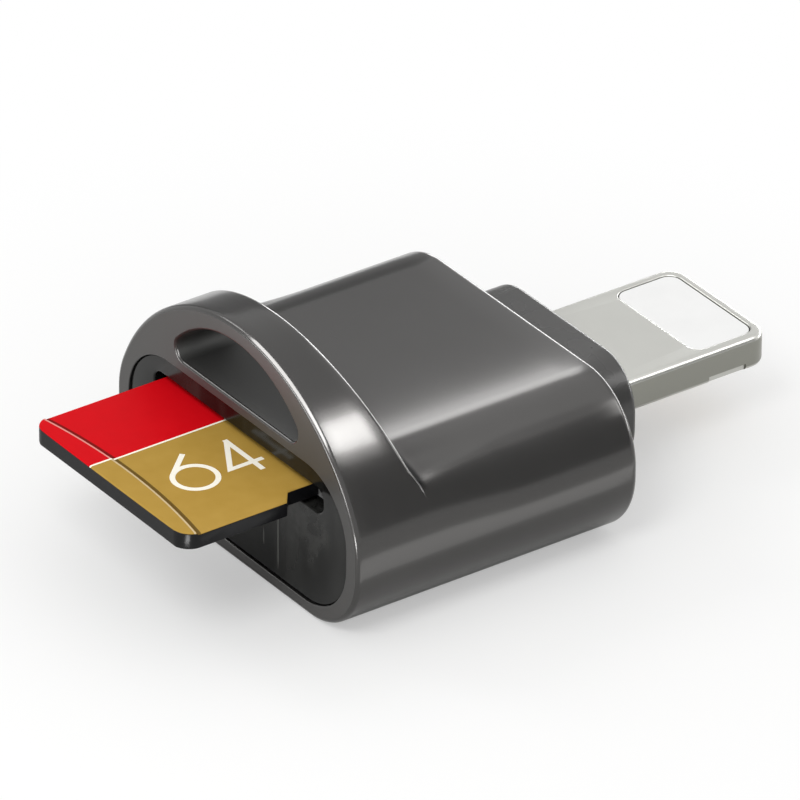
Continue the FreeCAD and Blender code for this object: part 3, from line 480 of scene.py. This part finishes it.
haze = smoke.grain(scale=0.22, detail=3.0, stretch=(1.6, 1, 0.5))
streak = smoke.grain(scale=0.9, stretch=(1.0, 1.0, 0.12)).ease(0.52, 0.75)
beside_gate, above_gate = sideways - GATE_X, upwards - GATE_Z
from_gate = beside_gate * beside_gate + above_gate * above_gate
swirl = smoke.grain(scale=1.1, detail=4.0).ease(0.42, 0.66) * (1 - from_gate.ease(*GATE_FADE))
clouding = haze.ease(0.4, 0.75) * 0.35 + streak * 0.35 + swirl * 0.55
long_flow = flow_line(place=2.85, half=0.045, fade_in=(0.9, 1.6), fade_out=(3.2, 4.4))
short_flow = flow_line(place=1.83, half=0.04, fade_in=(1.6, 1.9), fade_out=(2.2, 2.6))
flow_lines = 0.8 * long_flow + 0.6 * short_flow
clouded = clouding.blend(tint(17, 17, 16), tint(58, 58, 56))
dress(plate, smoke.done(
    Base_Color=flow_lines.blend(clouded, tint(96, 96, 93)),
    Roughness=0.1 + 0.12 * haze,
    Specular_IOR_Level=0.22,
    Normal=smoke.bump(haze, depth=0.01),
))
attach(plate, "reader")
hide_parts("front_insert")

# Collar: the dark plastic socket that the plug stands in. Its flange is caught inside the
# housing's rear wall, and its stub passes out through the wall and ends in a rounded edge.
FLANGE_BACK, FLANGE_FACE = 5.2, 6.0
COLLAR_END, COLLAR_EDGE, BORE_EDGE = 9.5, 0.28, 0.08
flange = swelling(half=5.6, low=0.8, high=6.1, radius=2.2, count=20)(0)
collar_outline = swelling(half=5.1, low=0.9, high=6.0, radius=2.2, count=20)
bore_outline = swelling(half=3.38, low=2.67, high=4.23, radius=0.28, count=20)
collar_rows = [(flange, FLANGE_BACK), (flange, FLANGE_FACE), (collar_outline(0), FLANGE_FACE)]
collar_rows += outer_edge(collar_outline, COLLAR_END, -1, COLLAR_EDGE)
collar_rows += mouth_edge(bore_outline, COLLAR_END, -1, BORE_EDGE)
collar_rows += [(bore_outline(0), FLANGE_BACK)]
collar = skin("plug_collar", stack(collar_rows, 1), endless=True)
smooth(collar)

moulded = Finish("collar_moulding")
broad = moulded.grain(scale=0.5)
dress(collar, moulded.done(
    Base_Color=broad.blend(tint(58, 58, 57), tint(66, 65, 64)),
    Metallic=0.2,
    Roughness=0.24 + 0.06 * broad,
    Specular_IOR_Level=0.5,
))
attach(collar, "reader")
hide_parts("rear_collar")

# Plug shell: a flat stainless bar with round edges and a rounded tip, with a window through it
# and a small catch notch low on each side. Metal injection moulded and bead blasted to satin.
SHELL_HALF, SHELL_BACK, SHELL_TIP = 3.35, 5.2, 17.6
SHELL_BACK_ROUND, SHELL_TIP_ROUND, LEAST_ROUND = 0.3, 0.9, 0.02
SHELL_LOW, SHELL_HIGH, SHELL_EDGE, WINDOW_EDGE = 2.7, 4.2, 0.25, 0.07
CATCH_INNER, CATCH_OUTER, CATCH_ROUND = 3.15, 3.9, 0.12
CATCH_START, CATCH_END, CATCH_LOW, CATCH_HIGH = 14.45, 16.35, 2.2, 3.05


def shell_outline(grow):
    """The bar's plan: a rectangle with two wide rounds at its tip and two small ones at its back,
    with its sides, ends and radii all grown alike."""
    back, tip = max(SHELL_BACK_ROUND + grow, LEAST_ROUND), SHELL_TIP_ROUND + grow
    return oval(
        -SHELL_HALF - grow, SHELL_HALF + grow, SHELL_BACK - grow, SHELL_TIP + grow,
        [back, tip, tip, back], count=16,
    )


def catch_cutter(name, left, right):
    """A flat box with round ends: the notch's plan, carried up from under the plug."""
    plan = oval(left, right, CATCH_START, CATCH_END, [CATCH_ROUND] * 4, count=6)
    return bar(name, plan, CATCH_LOW, CATCH_HIGH, axis=2)


window_outline = swelling(half=2.9, low=14.05, high=17.15, radius=0.6, count=16)
passage = swelling(half=2.6, low=2.88, high=4.02, radius=0.12, count=6)(0)
shell_rows = outer_edge(shell_outline, SHELL_LOW, 1, SHELL_EDGE)[::-1]
shell_rows += outer_edge(shell_outline, SHELL_HIGH, -1, SHELL_EDGE)
shell_rows += mouth_edge(window_outline, SHELL_HIGH, -1, WINDOW_EDGE)
shell_rows += mouth_edge(window_outline, SHELL_LOW, 1, WINDOW_EDGE)[::-1]
shell = skin("plug_bar", stack(shell_rows, 2), endless=True)
carve(
    shell,
    "DIFFERENCE",
    bar("passage_cutter", passage, start=4.7, end=14.65, axis=1),
    catch_cutter("right_catch", CATCH_INNER, CATCH_OUTER),
    catch_cutter("left_catch", -CATCH_OUTER, -CATCH_INNER),
)
smooth(shell)

NOTCH_SKIN, CATCH_WALL, CATCH_WALL_HALF = 0.05, 3.16, 0.06

satin = Finish("satin_stainless")
drift, blast = satin.grain(scale=0.4), satin.grain(scale=22.0)
# Painted light and shade: faces looking up or down and their roundings get the lighter grey, the
# upright sides a darker painted shade, and the catch notch's wall is painted light.
lit_face_share = satin.start.math("ABSOLUTE", satin.facing("Z")).ease(0.1, 0.4)
beside, distance = satin.start.math("ABSOLUTE", satin.axis("X")), satin.axis("Y")
catch_painted_light = beside.within(CATCH_WALL, CATCH_WALL_HALF) * (satin.axis("Z") < CATCH_HIGH + NOTCH_SKIN)
catch_painted_light = catch_painted_light * (distance > CATCH_START - NOTCH_SKIN) * (distance < CATCH_END + NOTCH_SKIN)
painted_light_share = satin.start.math("MAXIMUM", lit_face_share, catch_painted_light)
blasted = drift.blend(tint(189, 189, 184), tint(197, 197, 192))
dress(shell, satin.done(
    Base_Color=painted_light_share.blend(tint(142, 142, 135), blasted),
    Metallic=1.0,
    Roughness=0.27 + 0.06 * blast,
    Normal=satin.bump(blast, depth=0.0008),
))
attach(shell, "reader")
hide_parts("plug_shell")

# Plug core: white glass-filled plastic, moulded through the steel bar and round the contacts. It
# fills the window just below the steel and runs back to the board.
CORE_LOW, CORE_HIGH, CORE_EDGE = 2.74, 4.16, 0.05
core_outline = swelling(half=2.87, low=14.08, high=17.12, radius=0.57, count=14)
core_stem = swelling(half=2.57, low=3.05, high=3.85, radius=0.06, count=4)(0)
core_rows = outer_edge(core_outline, CORE_LOW, 1, CORE_EDGE)[::-1]
core_rows += outer_edge(core_outline, CORE_HIGH, -1, CORE_EDGE)
core = skin("plug_core_moulding", stack(core_rows, 2))
carve(core, "UNION", bar("core_bar", core_stem, start=4.8, end=14.6, axis=1))
smooth(core)

white = Finish("white_moulding")
soft = white.grain(scale=0.8)
dress(core, white.done(
    Base_Color=soft.blend(tint(236, 236, 235), tint(244, 244, 243)),
    Roughness=0.12 + 0.06 * soft,
    Coat_Weight=0.3,
    Coat_Roughness=0.03,
))
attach(core, "reader")
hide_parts("plug_core")

# Contacts: gold-plated metal, eight strips moulded into the plug's core, eight springs in the
# card's socket and eight pads on the card. They keep the solids' own shapes.
gold = Finish("gold_plating")
wear = gold.grain(scale=3.0, detail=3.0)
gold_plating = gold.done(
    Base_Color=wear.blend(tint(214, 170, 84), tint(232, 194, 112)),
    Metallic=1.0,
    Roughness=0.2 + 0.15 * wear,
)
for name in ("plug_contacts", "socket_contacts", "card_contacts"):
    dress(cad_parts[name], gold_plating)

# Circuit board: green laminate with its solder mask, standing inside the housing between the
# front plate and the collar. It carries the card's socket and the chips.
WEAVE = 24.0

laminate = Finish("solder_mask")
weave_x = laminate.start.math("SINE", laminate.axis("X") * WEAVE)
weave_y = laminate.start.math("SINE", laminate.axis("Y") * WEAVE)
mask_cloud = laminate.grain(scale=0.6)
dress(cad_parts["main_board"], laminate.done(
    Base_Color=mask_cloud.blend(tint(18, 66, 40), tint(26, 84, 52)),
    Roughness=0.3 + 0.1 * mask_cloud,
    Normal=laminate.bump(weave_x * weave_y, depth=0.004),
))

# Card socket: a black plastic tray, its stamped steel cover and a small card-detect switch, all
# soldered to the board's upper side. The crystal's can is drawn from the same steel sheet.
tray = Finish("socket_moulding")
tray_grain = tray.grain(scale=10.0, detail=3.0)
tray_black = tray.done(
    Base_Color=tray_grain.blend(tint(24, 24, 25), tint(36, 36, 37)),
    Roughness=0.45 + 0.15 * tray_grain,
    Normal=tray.bump(tray_grain, depth=0.004),
)
for name in ("socket_base", "detect_switch"):
    dress(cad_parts[name], tray_black)
sheet = Finish("rolled_sheet_steel")
rolling = sheet.grain(scale=12.0, stretch=(1, 0.05, 1))
sheet_steel = sheet.done(
    Base_Color=rolling.blend(tint(178, 178, 176), tint(200, 200, 198)),
    Metallic=1.0,
    Roughness=0.22 + 0.2 * rolling,
)
for name in ("socket_cover", "crystal"):
    dress(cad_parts[name], sheet_steel)

# Chips and small parts under the board: black resin packages and resistors, tan ceramic
# capacitors and a white indicator lamp. They keep the solids' own shapes.
resin = Finish("chip_resin")
resin_grain = resin.grain(scale=16.0, detail=3.0)
chip_resin = resin.done(
    Base_Color=resin_grain.blend(tint(30, 30, 32), tint(44, 44, 46)),
    Roughness=0.5 + 0.15 * resin_grain,
    Normal=resin.bump(resin_grain, depth=0.006),
)
for name in ("controller_chip", "power_regulator", "interface_chip", "resistors"):
    dress(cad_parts[name], chip_resin)
ceramic = Finish("fired_ceramic")
body_cloud = ceramic.grain(scale=2.5)
dress(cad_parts["capacitors"], ceramic.done(
    Base_Color=body_cloud.blend(tint(150, 122, 92), tint(176, 148, 116)),
    Roughness=0.4 + 0.1 * body_cloud,
))
lamp = Finish("lamp_resin")
lamp_cloud = lamp.grain(scale=3.0)
dress(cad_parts["indicator_lamp"], lamp.done(
    Base_Color=lamp_cloud.blend(tint(226, 230, 226), tint(240, 242, 238)),
    Roughness=0.2 + 0.1 * lamp_cloud,
))

# Memory card: a thin black moulded card, its label printed over the whole upper face in a red
# and a gold field. It has a side notch, a narrower contact end and a raised thumb grip whose
# step is curved, and it slides in the reader's slot.
CARD_START, CARD_LENGTH, CARD_HALF = -13.3, 15.0, 5.5
CARD_LOW, CARD_HIGH, CARD_CORNER, CARD_EDGE = 5.25, 5.95, 0.8, 0.09
NOTCH_START, NOTCH_DEEP, NOTCH_END, TOOTH_END, NOSE_START = 5.0, 5.5, 7.0, 7.7, 9.0
NOTCH_HALF, NOSE_HALF = 4.85, 4.2
GRIP_RISE, GRIP_END, GRIP_STEP = 0.08, 1.15, 0.06
GRIP_BOW, GRIP_SIDE, BOW_FADE, BOW_END = 30.0, 5.4, 0.9, 2.2


def corner_cut(place):
    """How far the round corners at both ends take the side in: the radius less its cosine leg."""
    into = np.clip(CARD_CORNER - np.minimum(place, CARD_LENGTH - place), 0, CARD_CORNER)
    return CARD_CORNER - np.sqrt(CARD_CORNER**2 - into**2)


def card_right(place):
    """The card's right side by the distance from its outer end: side notch, tooth and nose."""
    turns = (
        (0, CARD_HALF), (NOTCH_START, CARD_HALF), (NOTCH_DEEP, NOTCH_HALF), (NOTCH_END, NOTCH_HALF),
        (NOTCH_END + HAIR, CARD_HALF), (TOOTH_END, CARD_HALF), (NOSE_START, NOSE_HALF),
        (CARD_LENGTH, NOSE_HALF),
    )
    return np.interp(place, *np.transpose(turns)) - corner_cut(place)


def grip_height(place):
    """The upper face: raised over the grip, then a short smooth step down to the label."""
    share = np.clip((place - GRIP_END + GRIP_STEP) / (2 * GRIP_STEP), 0, 1)
    return CARD_HIGH + GRIP_RISE * (1 - smooth_rise(share))


def card_grid():
    """Cross sections along the card. A section is a flat bar with round edges between the two
    sides, and near the grip it bows along the card by the grip circle's fall from its crest."""
    ends = CARD_CORNER * (1 - np.cos(np.radians(np.linspace(0, 90, num=13))))
    tips = CARD_EDGE * (1 - np.cos(QUARTER))
    grip = GRIP_END + np.array([-0.2, -0.1, -0.06, -0.04, -0.02, 0, 0.02, 0.04, 0.06, 0.1, 0.25])
    length = [
        BOW_END, 3.2, 4.2, NOTCH_START, NOTCH_DEEP, 6.2, NOTCH_END, NOTCH_END + HAIR, TOOTH_END,
        8.3, NOSE_START, 10.5, 12.5,
    ]
    stations = np.unique(np.round(np.concatenate([
        tips, ends, grip, length, CARD_LENGTH - ends, CARD_LENGTH - tips,
    ]), 6))[:, None]
    bow = np.clip(stations / BOW_FADE, 0, 1) * np.clip((BOW_END - stations) / BOW_FADE, 0, 1)

    face = np.linspace(0, 1, num=25)
    bend = np.radians(np.linspace(0, 90, num=5))[1:-1]
    side_out = np.concatenate([np.sin(bend), [1, 1], np.sin(bend[::-1])])
    side_up = np.concatenate([-np.cos(bend), [0, 0], np.cos(bend[::-1])])
    flat, whole, half_side = 0 * face, np.ones(len(side_out)), len(side_out) // 2
    shares = np.concatenate([face, whole, face[::-1], 0 * whole])
    edge_out = np.concatenate([flat, side_out, flat, -side_out])
    edge_up = np.concatenate([flat - 1, side_up, flat + 1, -side_up])
    upper = np.repeat([0, 1, 0], [len(face) + half_side, len(face) + 2 * half_side, half_side])

    fall = np.sqrt(GRIP_BOW**2 - GRIP_SIDE**2) - GRIP_BOW
    side_place = np.clip(stations + bow * fall, 0, CARD_LENGTH)
    right = card_right(side_place) - CARD_EDGE
    left = -CARD_HALF + corner_cut(side_place) + CARD_EDGE
    x = left + (right - left) * shares
    off_middle = np.minimum(abs(x), CARD_HALF)
    place = stations + bow * (np.sqrt(GRIP_BOW**2 - off_middle**2) - GRIP_BOW)
    near_tip = np.clip(CARD_EDGE - np.minimum(stations, CARD_LENGTH - stations), 0, CARD_EDGE)
    tip = CARD_EDGE - np.sqrt(CARD_EDGE**2 - near_tip**2)
    top, base = grip_height(stations) - CARD_EDGE - tip, CARD_LOW + CARD_EDGE + tip
    y = CARD_START + np.clip(place, 0, CARD_LENGTH)
    z = np.where(upper > 0, top, base) + CARD_EDGE * edge_up
    return np.stack([x + CARD_EDGE * edge_out, y, z], axis=2)


card = skin("memory_card_body", card_grid())
pad_recess = oval(left=-5.05, right=3.75, low=-1.9, high=1.0, radii=[0.2] * 4, count=6)
carve(card, "DIFFERENCE", bar("pad_cutter", pad_recess, start=5.0, end=5.35, axis=2))
smooth(card, degrees=40)

PRINT_LEVEL, FIELD_SPLIT, PINSTRIPE_HALF = 5.9, -1.24, 0.05
STEP_SHADOW_MIDDLE, STEP_SHADOW_HALF, CREST_HIGHLIGHT_MIDDLE, CREST_HIGHLIGHT_HALF = 0.075, 0.105, -0.09, 0.04

label = Finish("printed_label")
ink = label.grain(scale=1.2)
across, along = label.axis("X"), label.axis("Y")
printed = (label.axis("Z") > PRINT_LEVEL) * label.facing("Z").ease(0.25, 0.5)
grip_fall = label.start.math("SQRT", GRIP_BOW**2 - across * across) - GRIP_BOW
past_grip = along - CARD_START - GRIP_END - grip_fall
# Painted shadow just past the grip's curved step and a painted highlight on its crest.
step_painted_shadow = past_grip.within(STEP_SHADOW_MIDDLE, STEP_SHADOW_HALF)
crest_painted_highlight = past_grip.within(CREST_HIGHLIGHT_MIDDLE, CREST_HIGHLIGHT_HALF)
pinstripe = across.within(FIELD_SPLIT, PINSTRIPE_HALF)
# Painted light: the tooth's front face behind the side notch gets a light grey.
notch_face_painted_light = (label.facing("Y") < -0.7) * along.within(CARD_START + NOTCH_END, NOTCH_SKIN)
cream = tint(255, 250, 235)
red_field = ink.blend(tint(206, 8, 20), tint(216, 12, 24))
gold_field = ink.blend(tint(172, 137, 60), tint(184, 149, 72))
fields = (across > FIELD_SPLIT).blend(red_field, gold_field)
step_lit_fields = (0.7 * step_painted_shadow).blend((0.3 * crest_painted_highlight).blend(fields, cream), tint(36, 18, 8))
moulding = notch_face_painted_light.blend(tint(14, 14, 16), tint(120, 120, 120))
dress(card, label.done(
    Base_Color=printed.blend(moulding, pinstripe.blend(step_lit_fields, cream)),
    Roughness=0.4 + 0.08 * ink,
    Specular_IOR_Level=0.03,
    Coat_Weight=0.3 - 0.3 * printed,
    Coat_Roughness=0.2,
))
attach(card, "card")
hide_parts("memory_card")

# Number on the label: the plain capacity 64 in thick cream ink, read along the card with its top
# towards the red field. A round bowl, a straight stem and three straight strokes.
STROKE, INK_LOW, INK_HIGH = 0.115, 5.94, 5.958
BOWL_MIDDLE, BOWL_RADIUS, STEM_TOP = np.array([1.8, -10.22]), 0.93, np.array([0.0, -9.62])
FOUR_BAR, FOUR_UPRIGHT = [(0.2, -7.6), (2.1, -8.72), (2.1, -7.12)], [(0.06, -7.6), (2.82, -7.6)]


def ribbon(name, path, level, endless=False):
    """A flat bar along a path on the label: at each point the stroke's half width to both sides
    along the mitred normal, which is the sum of the two neighbour normals over one plus their
    product."""
    path = np.asarray(path, float)
    steps = np.diff(np.vstack([path, path[:1]]) if endless else path, axis=0)
    steps /= np.linalg.norm(steps, axis=1)[:, None]
    normals = np.stack([steps[:, 1], -steps[:, 0]], axis=1)
    before, after = np.roll(normals, 1, axis=0), normals
    if not endless:
        before, after = np.vstack([normals[:1], normals]), np.vstack([normals, normals[-1:]])
    mitre = STROKE * (before + after) / (1 + (before * after).sum(axis=1))[:, None]
    left, right = path - mitre, path + mitre
    corners = [(left, INK_LOW), (right, INK_LOW), (right, level), (left, level)]
    columns = [np.column_stack([side, np.full(len(path), height)]) for side, height in corners]
    return skin(name, np.stack(columns, axis=1), endless)


def stem_foot():
    """Where the stem's line touches the bowl: on the bowl's circle, at the angle of the stem's top
    as seen from the bowl's middle plus the angle whose cosine is the radius over their distance."""
    across, along = STEM_TOP - BOWL_MIDDLE
    turn = math.atan2(along, across) + math.acos(BOWL_RADIUS / math.hypot(across, along))
    return BOWL_MIDDLE + BOWL_RADIUS * np.array([math.cos(turn), math.sin(turn)])


six_bowl = arc(BOWL_MIDDLE, BOWL_RADIUS, 0, 360, count=65)[:-1]
number = ribbon("label_number", six_bowl, INK_HIGH, endless=True)
carve(
    number,
    "UNION",
    ribbon("six_stem", [STEM_TOP, stem_foot()], INK_HIGH - HAIR),
    ribbon("four_bar", FOUR_BAR, INK_HIGH - HAIR),
    ribbon("four_upright", FOUR_UPRIGHT, INK_HIGH),
)
smooth(number, degrees=25)
print_ink = Finish("cream_ink")
ink_cloud = print_ink.grain(scale=1.5)
dress(number, print_ink.done(
    Base_Color=ink_cloud.blend(tint(252, 247, 230), tint(255, 251, 238)),
    Roughness=0.42 + 0.08 * ink_cloud,
    Specular_IOR_Level=0.1,
))
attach(number, "card")

# Stage: a plain white floor, a white surround, two grey cards that only the gloss mirrors and
# soft studio lamps, with the camera where the photograph was taken from.
FLOOR_HALF, FLOOR_DROP = 3000, 0.02
MIRROR_FADE, SHADOW_FADE, SHADOW_GLOW = (25, 60), (12, 34), 0.4
SQUARE = ((-1, -1), (1, -1), (1, 1), (-1, 1))


def sheet_of(name, corners):
    """One flat sheet between four corners in millimetres."""
    mesh = bpy.data.meshes.new(name)
    mesh.from_pydata([Vector(corner) * MM for corner in corners], [], [(0, 1, 2, 3)])
    piece = bpy.data.objects.new(name, mesh)
    bpy.context.scene.collection.objects.link(piece)
    return piece


def looking(field):
    """Which kind of ray asks: a camera, a glossy or a transmission ray, 1 for yes and 0 for no."""
    kinds = ("Camera", "Glossy", "Transmission")
    return [field.node("ShaderNodeLightPath", output=f"Is {kind} Ray") for kind in kinds]


floor = sheet_of("floor", [(x * FLOOR_HALF, y * FLOOR_HALF, -FLOOR_DROP) for x, y in SQUARE])
paper = Finish("white_paper")
seen, glossy, through = looking(paper.start)
far_off = paper.start.node(
    "ShaderNodeVectorMath", {"operation": "LENGTH"}, {0: paper.place}, "Value"
)
mirrored = far_off.ease(*MIRROR_FADE) * paper.start.math("MINIMUM", glossy + through, 1.0)
shadowless = SHADOW_GLOW + (1 - SHADOW_GLOW) * far_off.ease(*SHADOW_FADE)
backdrop = paper.start.math("MAXIMUM", mirrored, seen * shadowless)
paper_white = paper.start.node("ShaderNodeBsdfDiffuse", None, {"Color": tint(245, 245, 244)})
bright_white = paper.start.node("ShaderNodeEmission", None, {"Strength": 1.0})
lit_paper = paper.start.node(
    "ShaderNodeMixShader", None, {0: backdrop, 1: paper_white, 2: bright_white}
)
paper.start.node("ShaderNodeOutputMaterial", None, {"Surface": lit_paper})
dress(floor, paper.material)

FELT_SPREAD = 4
for name, middle, outwards, half_wide, half_tall, shade in (
    ("grey_card", (68, 46, 37), (0.75, 0.5, 0.43), 30, 39, 162),
    ("dark_card", (-65, 20, 19), (-0.86, 0.5, 0), 24, 19, 156),
):
    flag_out = Vector(outwards).normalized()
    flag_side = Vector((0, 0, 1)).cross(flag_out).normalized()
    flag_rise = flag_out.cross(flag_side)
    flag = sheet_of(name, [
        Vector(middle) + flag_side * side * half_wide + flag_rise * rise * half_tall
        for side, rise in SQUARE
    ])
    flag.visible_camera = flag.visible_shadow = flag.visible_diffuse = False
    felt = Finish(name + "_felt")
    pale, deep = tint(*[shade + FELT_SPREAD] * 3), tint(*[shade - FELT_SPREAD] * 3)
    dress(flag, felt.done(Base_Color=felt.grain(scale=0.3).blend(deep, pale), Roughness=0.9))

AMBIENT = 0.8
world = bpy.data.worlds.new("white_surround")
world.use_nodes = True
world.node_tree.nodes.clear()
sky = Field(world.node_tree)
seen, glossy, through = looking(sky)
shown = sky.math("MINIMUM", seen + glossy + through, 1.0)
glow = sky.node("ShaderNodeBackground", None, {
    "Color": (1, 1, 1, 1), "Strength": AMBIENT + (1 - AMBIENT) * shown,
})
sky.node("ShaderNodeOutputWorld", None, {"Surface": glow})
bpy.context.scene.world = world
bpy.context.scene.view_settings.view_transform = "Standard"

LEVEL_BEAM = 0.75
for name, middle, toward, wide, tall, radiance, gloss_only in (
    ("front_key", (52, -81, 117), (-0.35, 0.55, -0.75), 52, 52, 7.5, False),
    ("left_key", (-105, -51, 98), (0.7, 0.35, -0.62), 42, 42, 4.4, False),
    ("arch_kicker", (17.6, 5.4, 27.1), (-0.433, -0.499, -0.749), 8.0, 6.6, 14.0, True),
    ("arch_glow", (17.6, 5.4, 27.0), (-0.433, -0.499, -0.749), 14.0, 6.6, 2.5, True),
    ("edge_glint", (3.5, -8.1, 11.6), (-0.243, 0.55, -0.8), 8.5, 2.6, 11.0, True),
    ("bend_fill", (2, 18, 30), (0, -0.5, -0.86), 22, 13, 0.5, True),
    ("plug_strip", (14.8, 24.5, 20), (-0.509, -0.499, -0.7), 8, 10, 4.5, True),
    ("barrel_strip", (-0.55, 5.6, 12.5), (0.81, 0, -0.59), 2.4, 12.5, 5.0, True),
    ("corner_glint", (10.8, -19.6, 0.4), (-0.5, 0.68, 0.51), 5.0, 3.0, 20.0, True),
    ("rear_rim", (-40, 133, 11), (0.28, -0.96, 0), 200, 18, 10.0, True),
    ("front_rim", (-20, -110, 10), (0.1, 0.99, 0), 120, 17, 10.0, True),
    ("low_strip", (13.0, 3.0, 0.4), (-0.81, 0, 0.59), 2.0, 22, 1.1, True),
):
    lamp_data = bpy.data.lights.new(name, "AREA")
    lamp_data.shape = "RECTANGLE"
    lamp_data.size, lamp_data.size_y = wide * MM, tall * MM
    lamp_data.energy = radiance * math.pi * wide * tall * MM * MM
    lamp_object = bpy.data.objects.new(name, lamp_data)
    beam = Vector(toward).normalized()
    upward = Vector((0, 0, 1) if abs(beam.y) > LEVEL_BEAM else (0, 1, 0))
    along_beam = (upward - beam * beam.dot(upward)).normalized()
    across_beam = along_beam.cross(-beam)
    facing_down = Matrix((across_beam, along_beam, -beam)).transposed().to_4x4()
    lamp_object.matrix_world = Matrix.Translation(Vector(middle) * MM) @ facing_down
    lamp_object.visible_camera = False
    lamp_object.visible_diffuse = not gloss_only
    bpy.context.scene.collection.objects.link(lamp_object)

AZIMUTH, ELEVATION, ROLL = (math.radians(angle) for angle in (54.53, 30.655, 0.29))
AIM, DISTANCE = Vector((-0.031, 1.181, 4.816)) * MM, 503.3 * MM
SENSOR, LENS, NEAREST, FARTHEST = 36.0, 554.0, 0.01, 20.0
level_back = Vector((math.sin(AZIMUTH), -math.cos(AZIMUTH), 0))
level_right = Vector((math.cos(AZIMUTH), math.sin(AZIMUTH), 0))
back = level_back * math.cos(ELEVATION) + Vector((0, 0, math.sin(ELEVATION)))
level_up = back.cross(level_right)
right_hand = level_right * math.cos(ROLL) + level_up * math.sin(ROLL)
overhead = level_up * math.cos(ROLL) - level_right * math.sin(ROLL)
camera_data = bpy.data.cameras.new("camera")
camera_data.sensor_width, camera_data.lens = SENSOR, LENS
camera_data.clip_start, camera_data.clip_end = NEAREST, FARTHEST
camera = bpy.data.objects.new("camera", camera_data)
turned = Matrix((right_hand, overhead, back)).transposed().to_4x4()
camera.matrix_world = Matrix.Translation(AIM + back * DISTANCE) @ turned
bpy.context.scene.collection.objects.link(camera)
bpy.context.scene.camera = camera
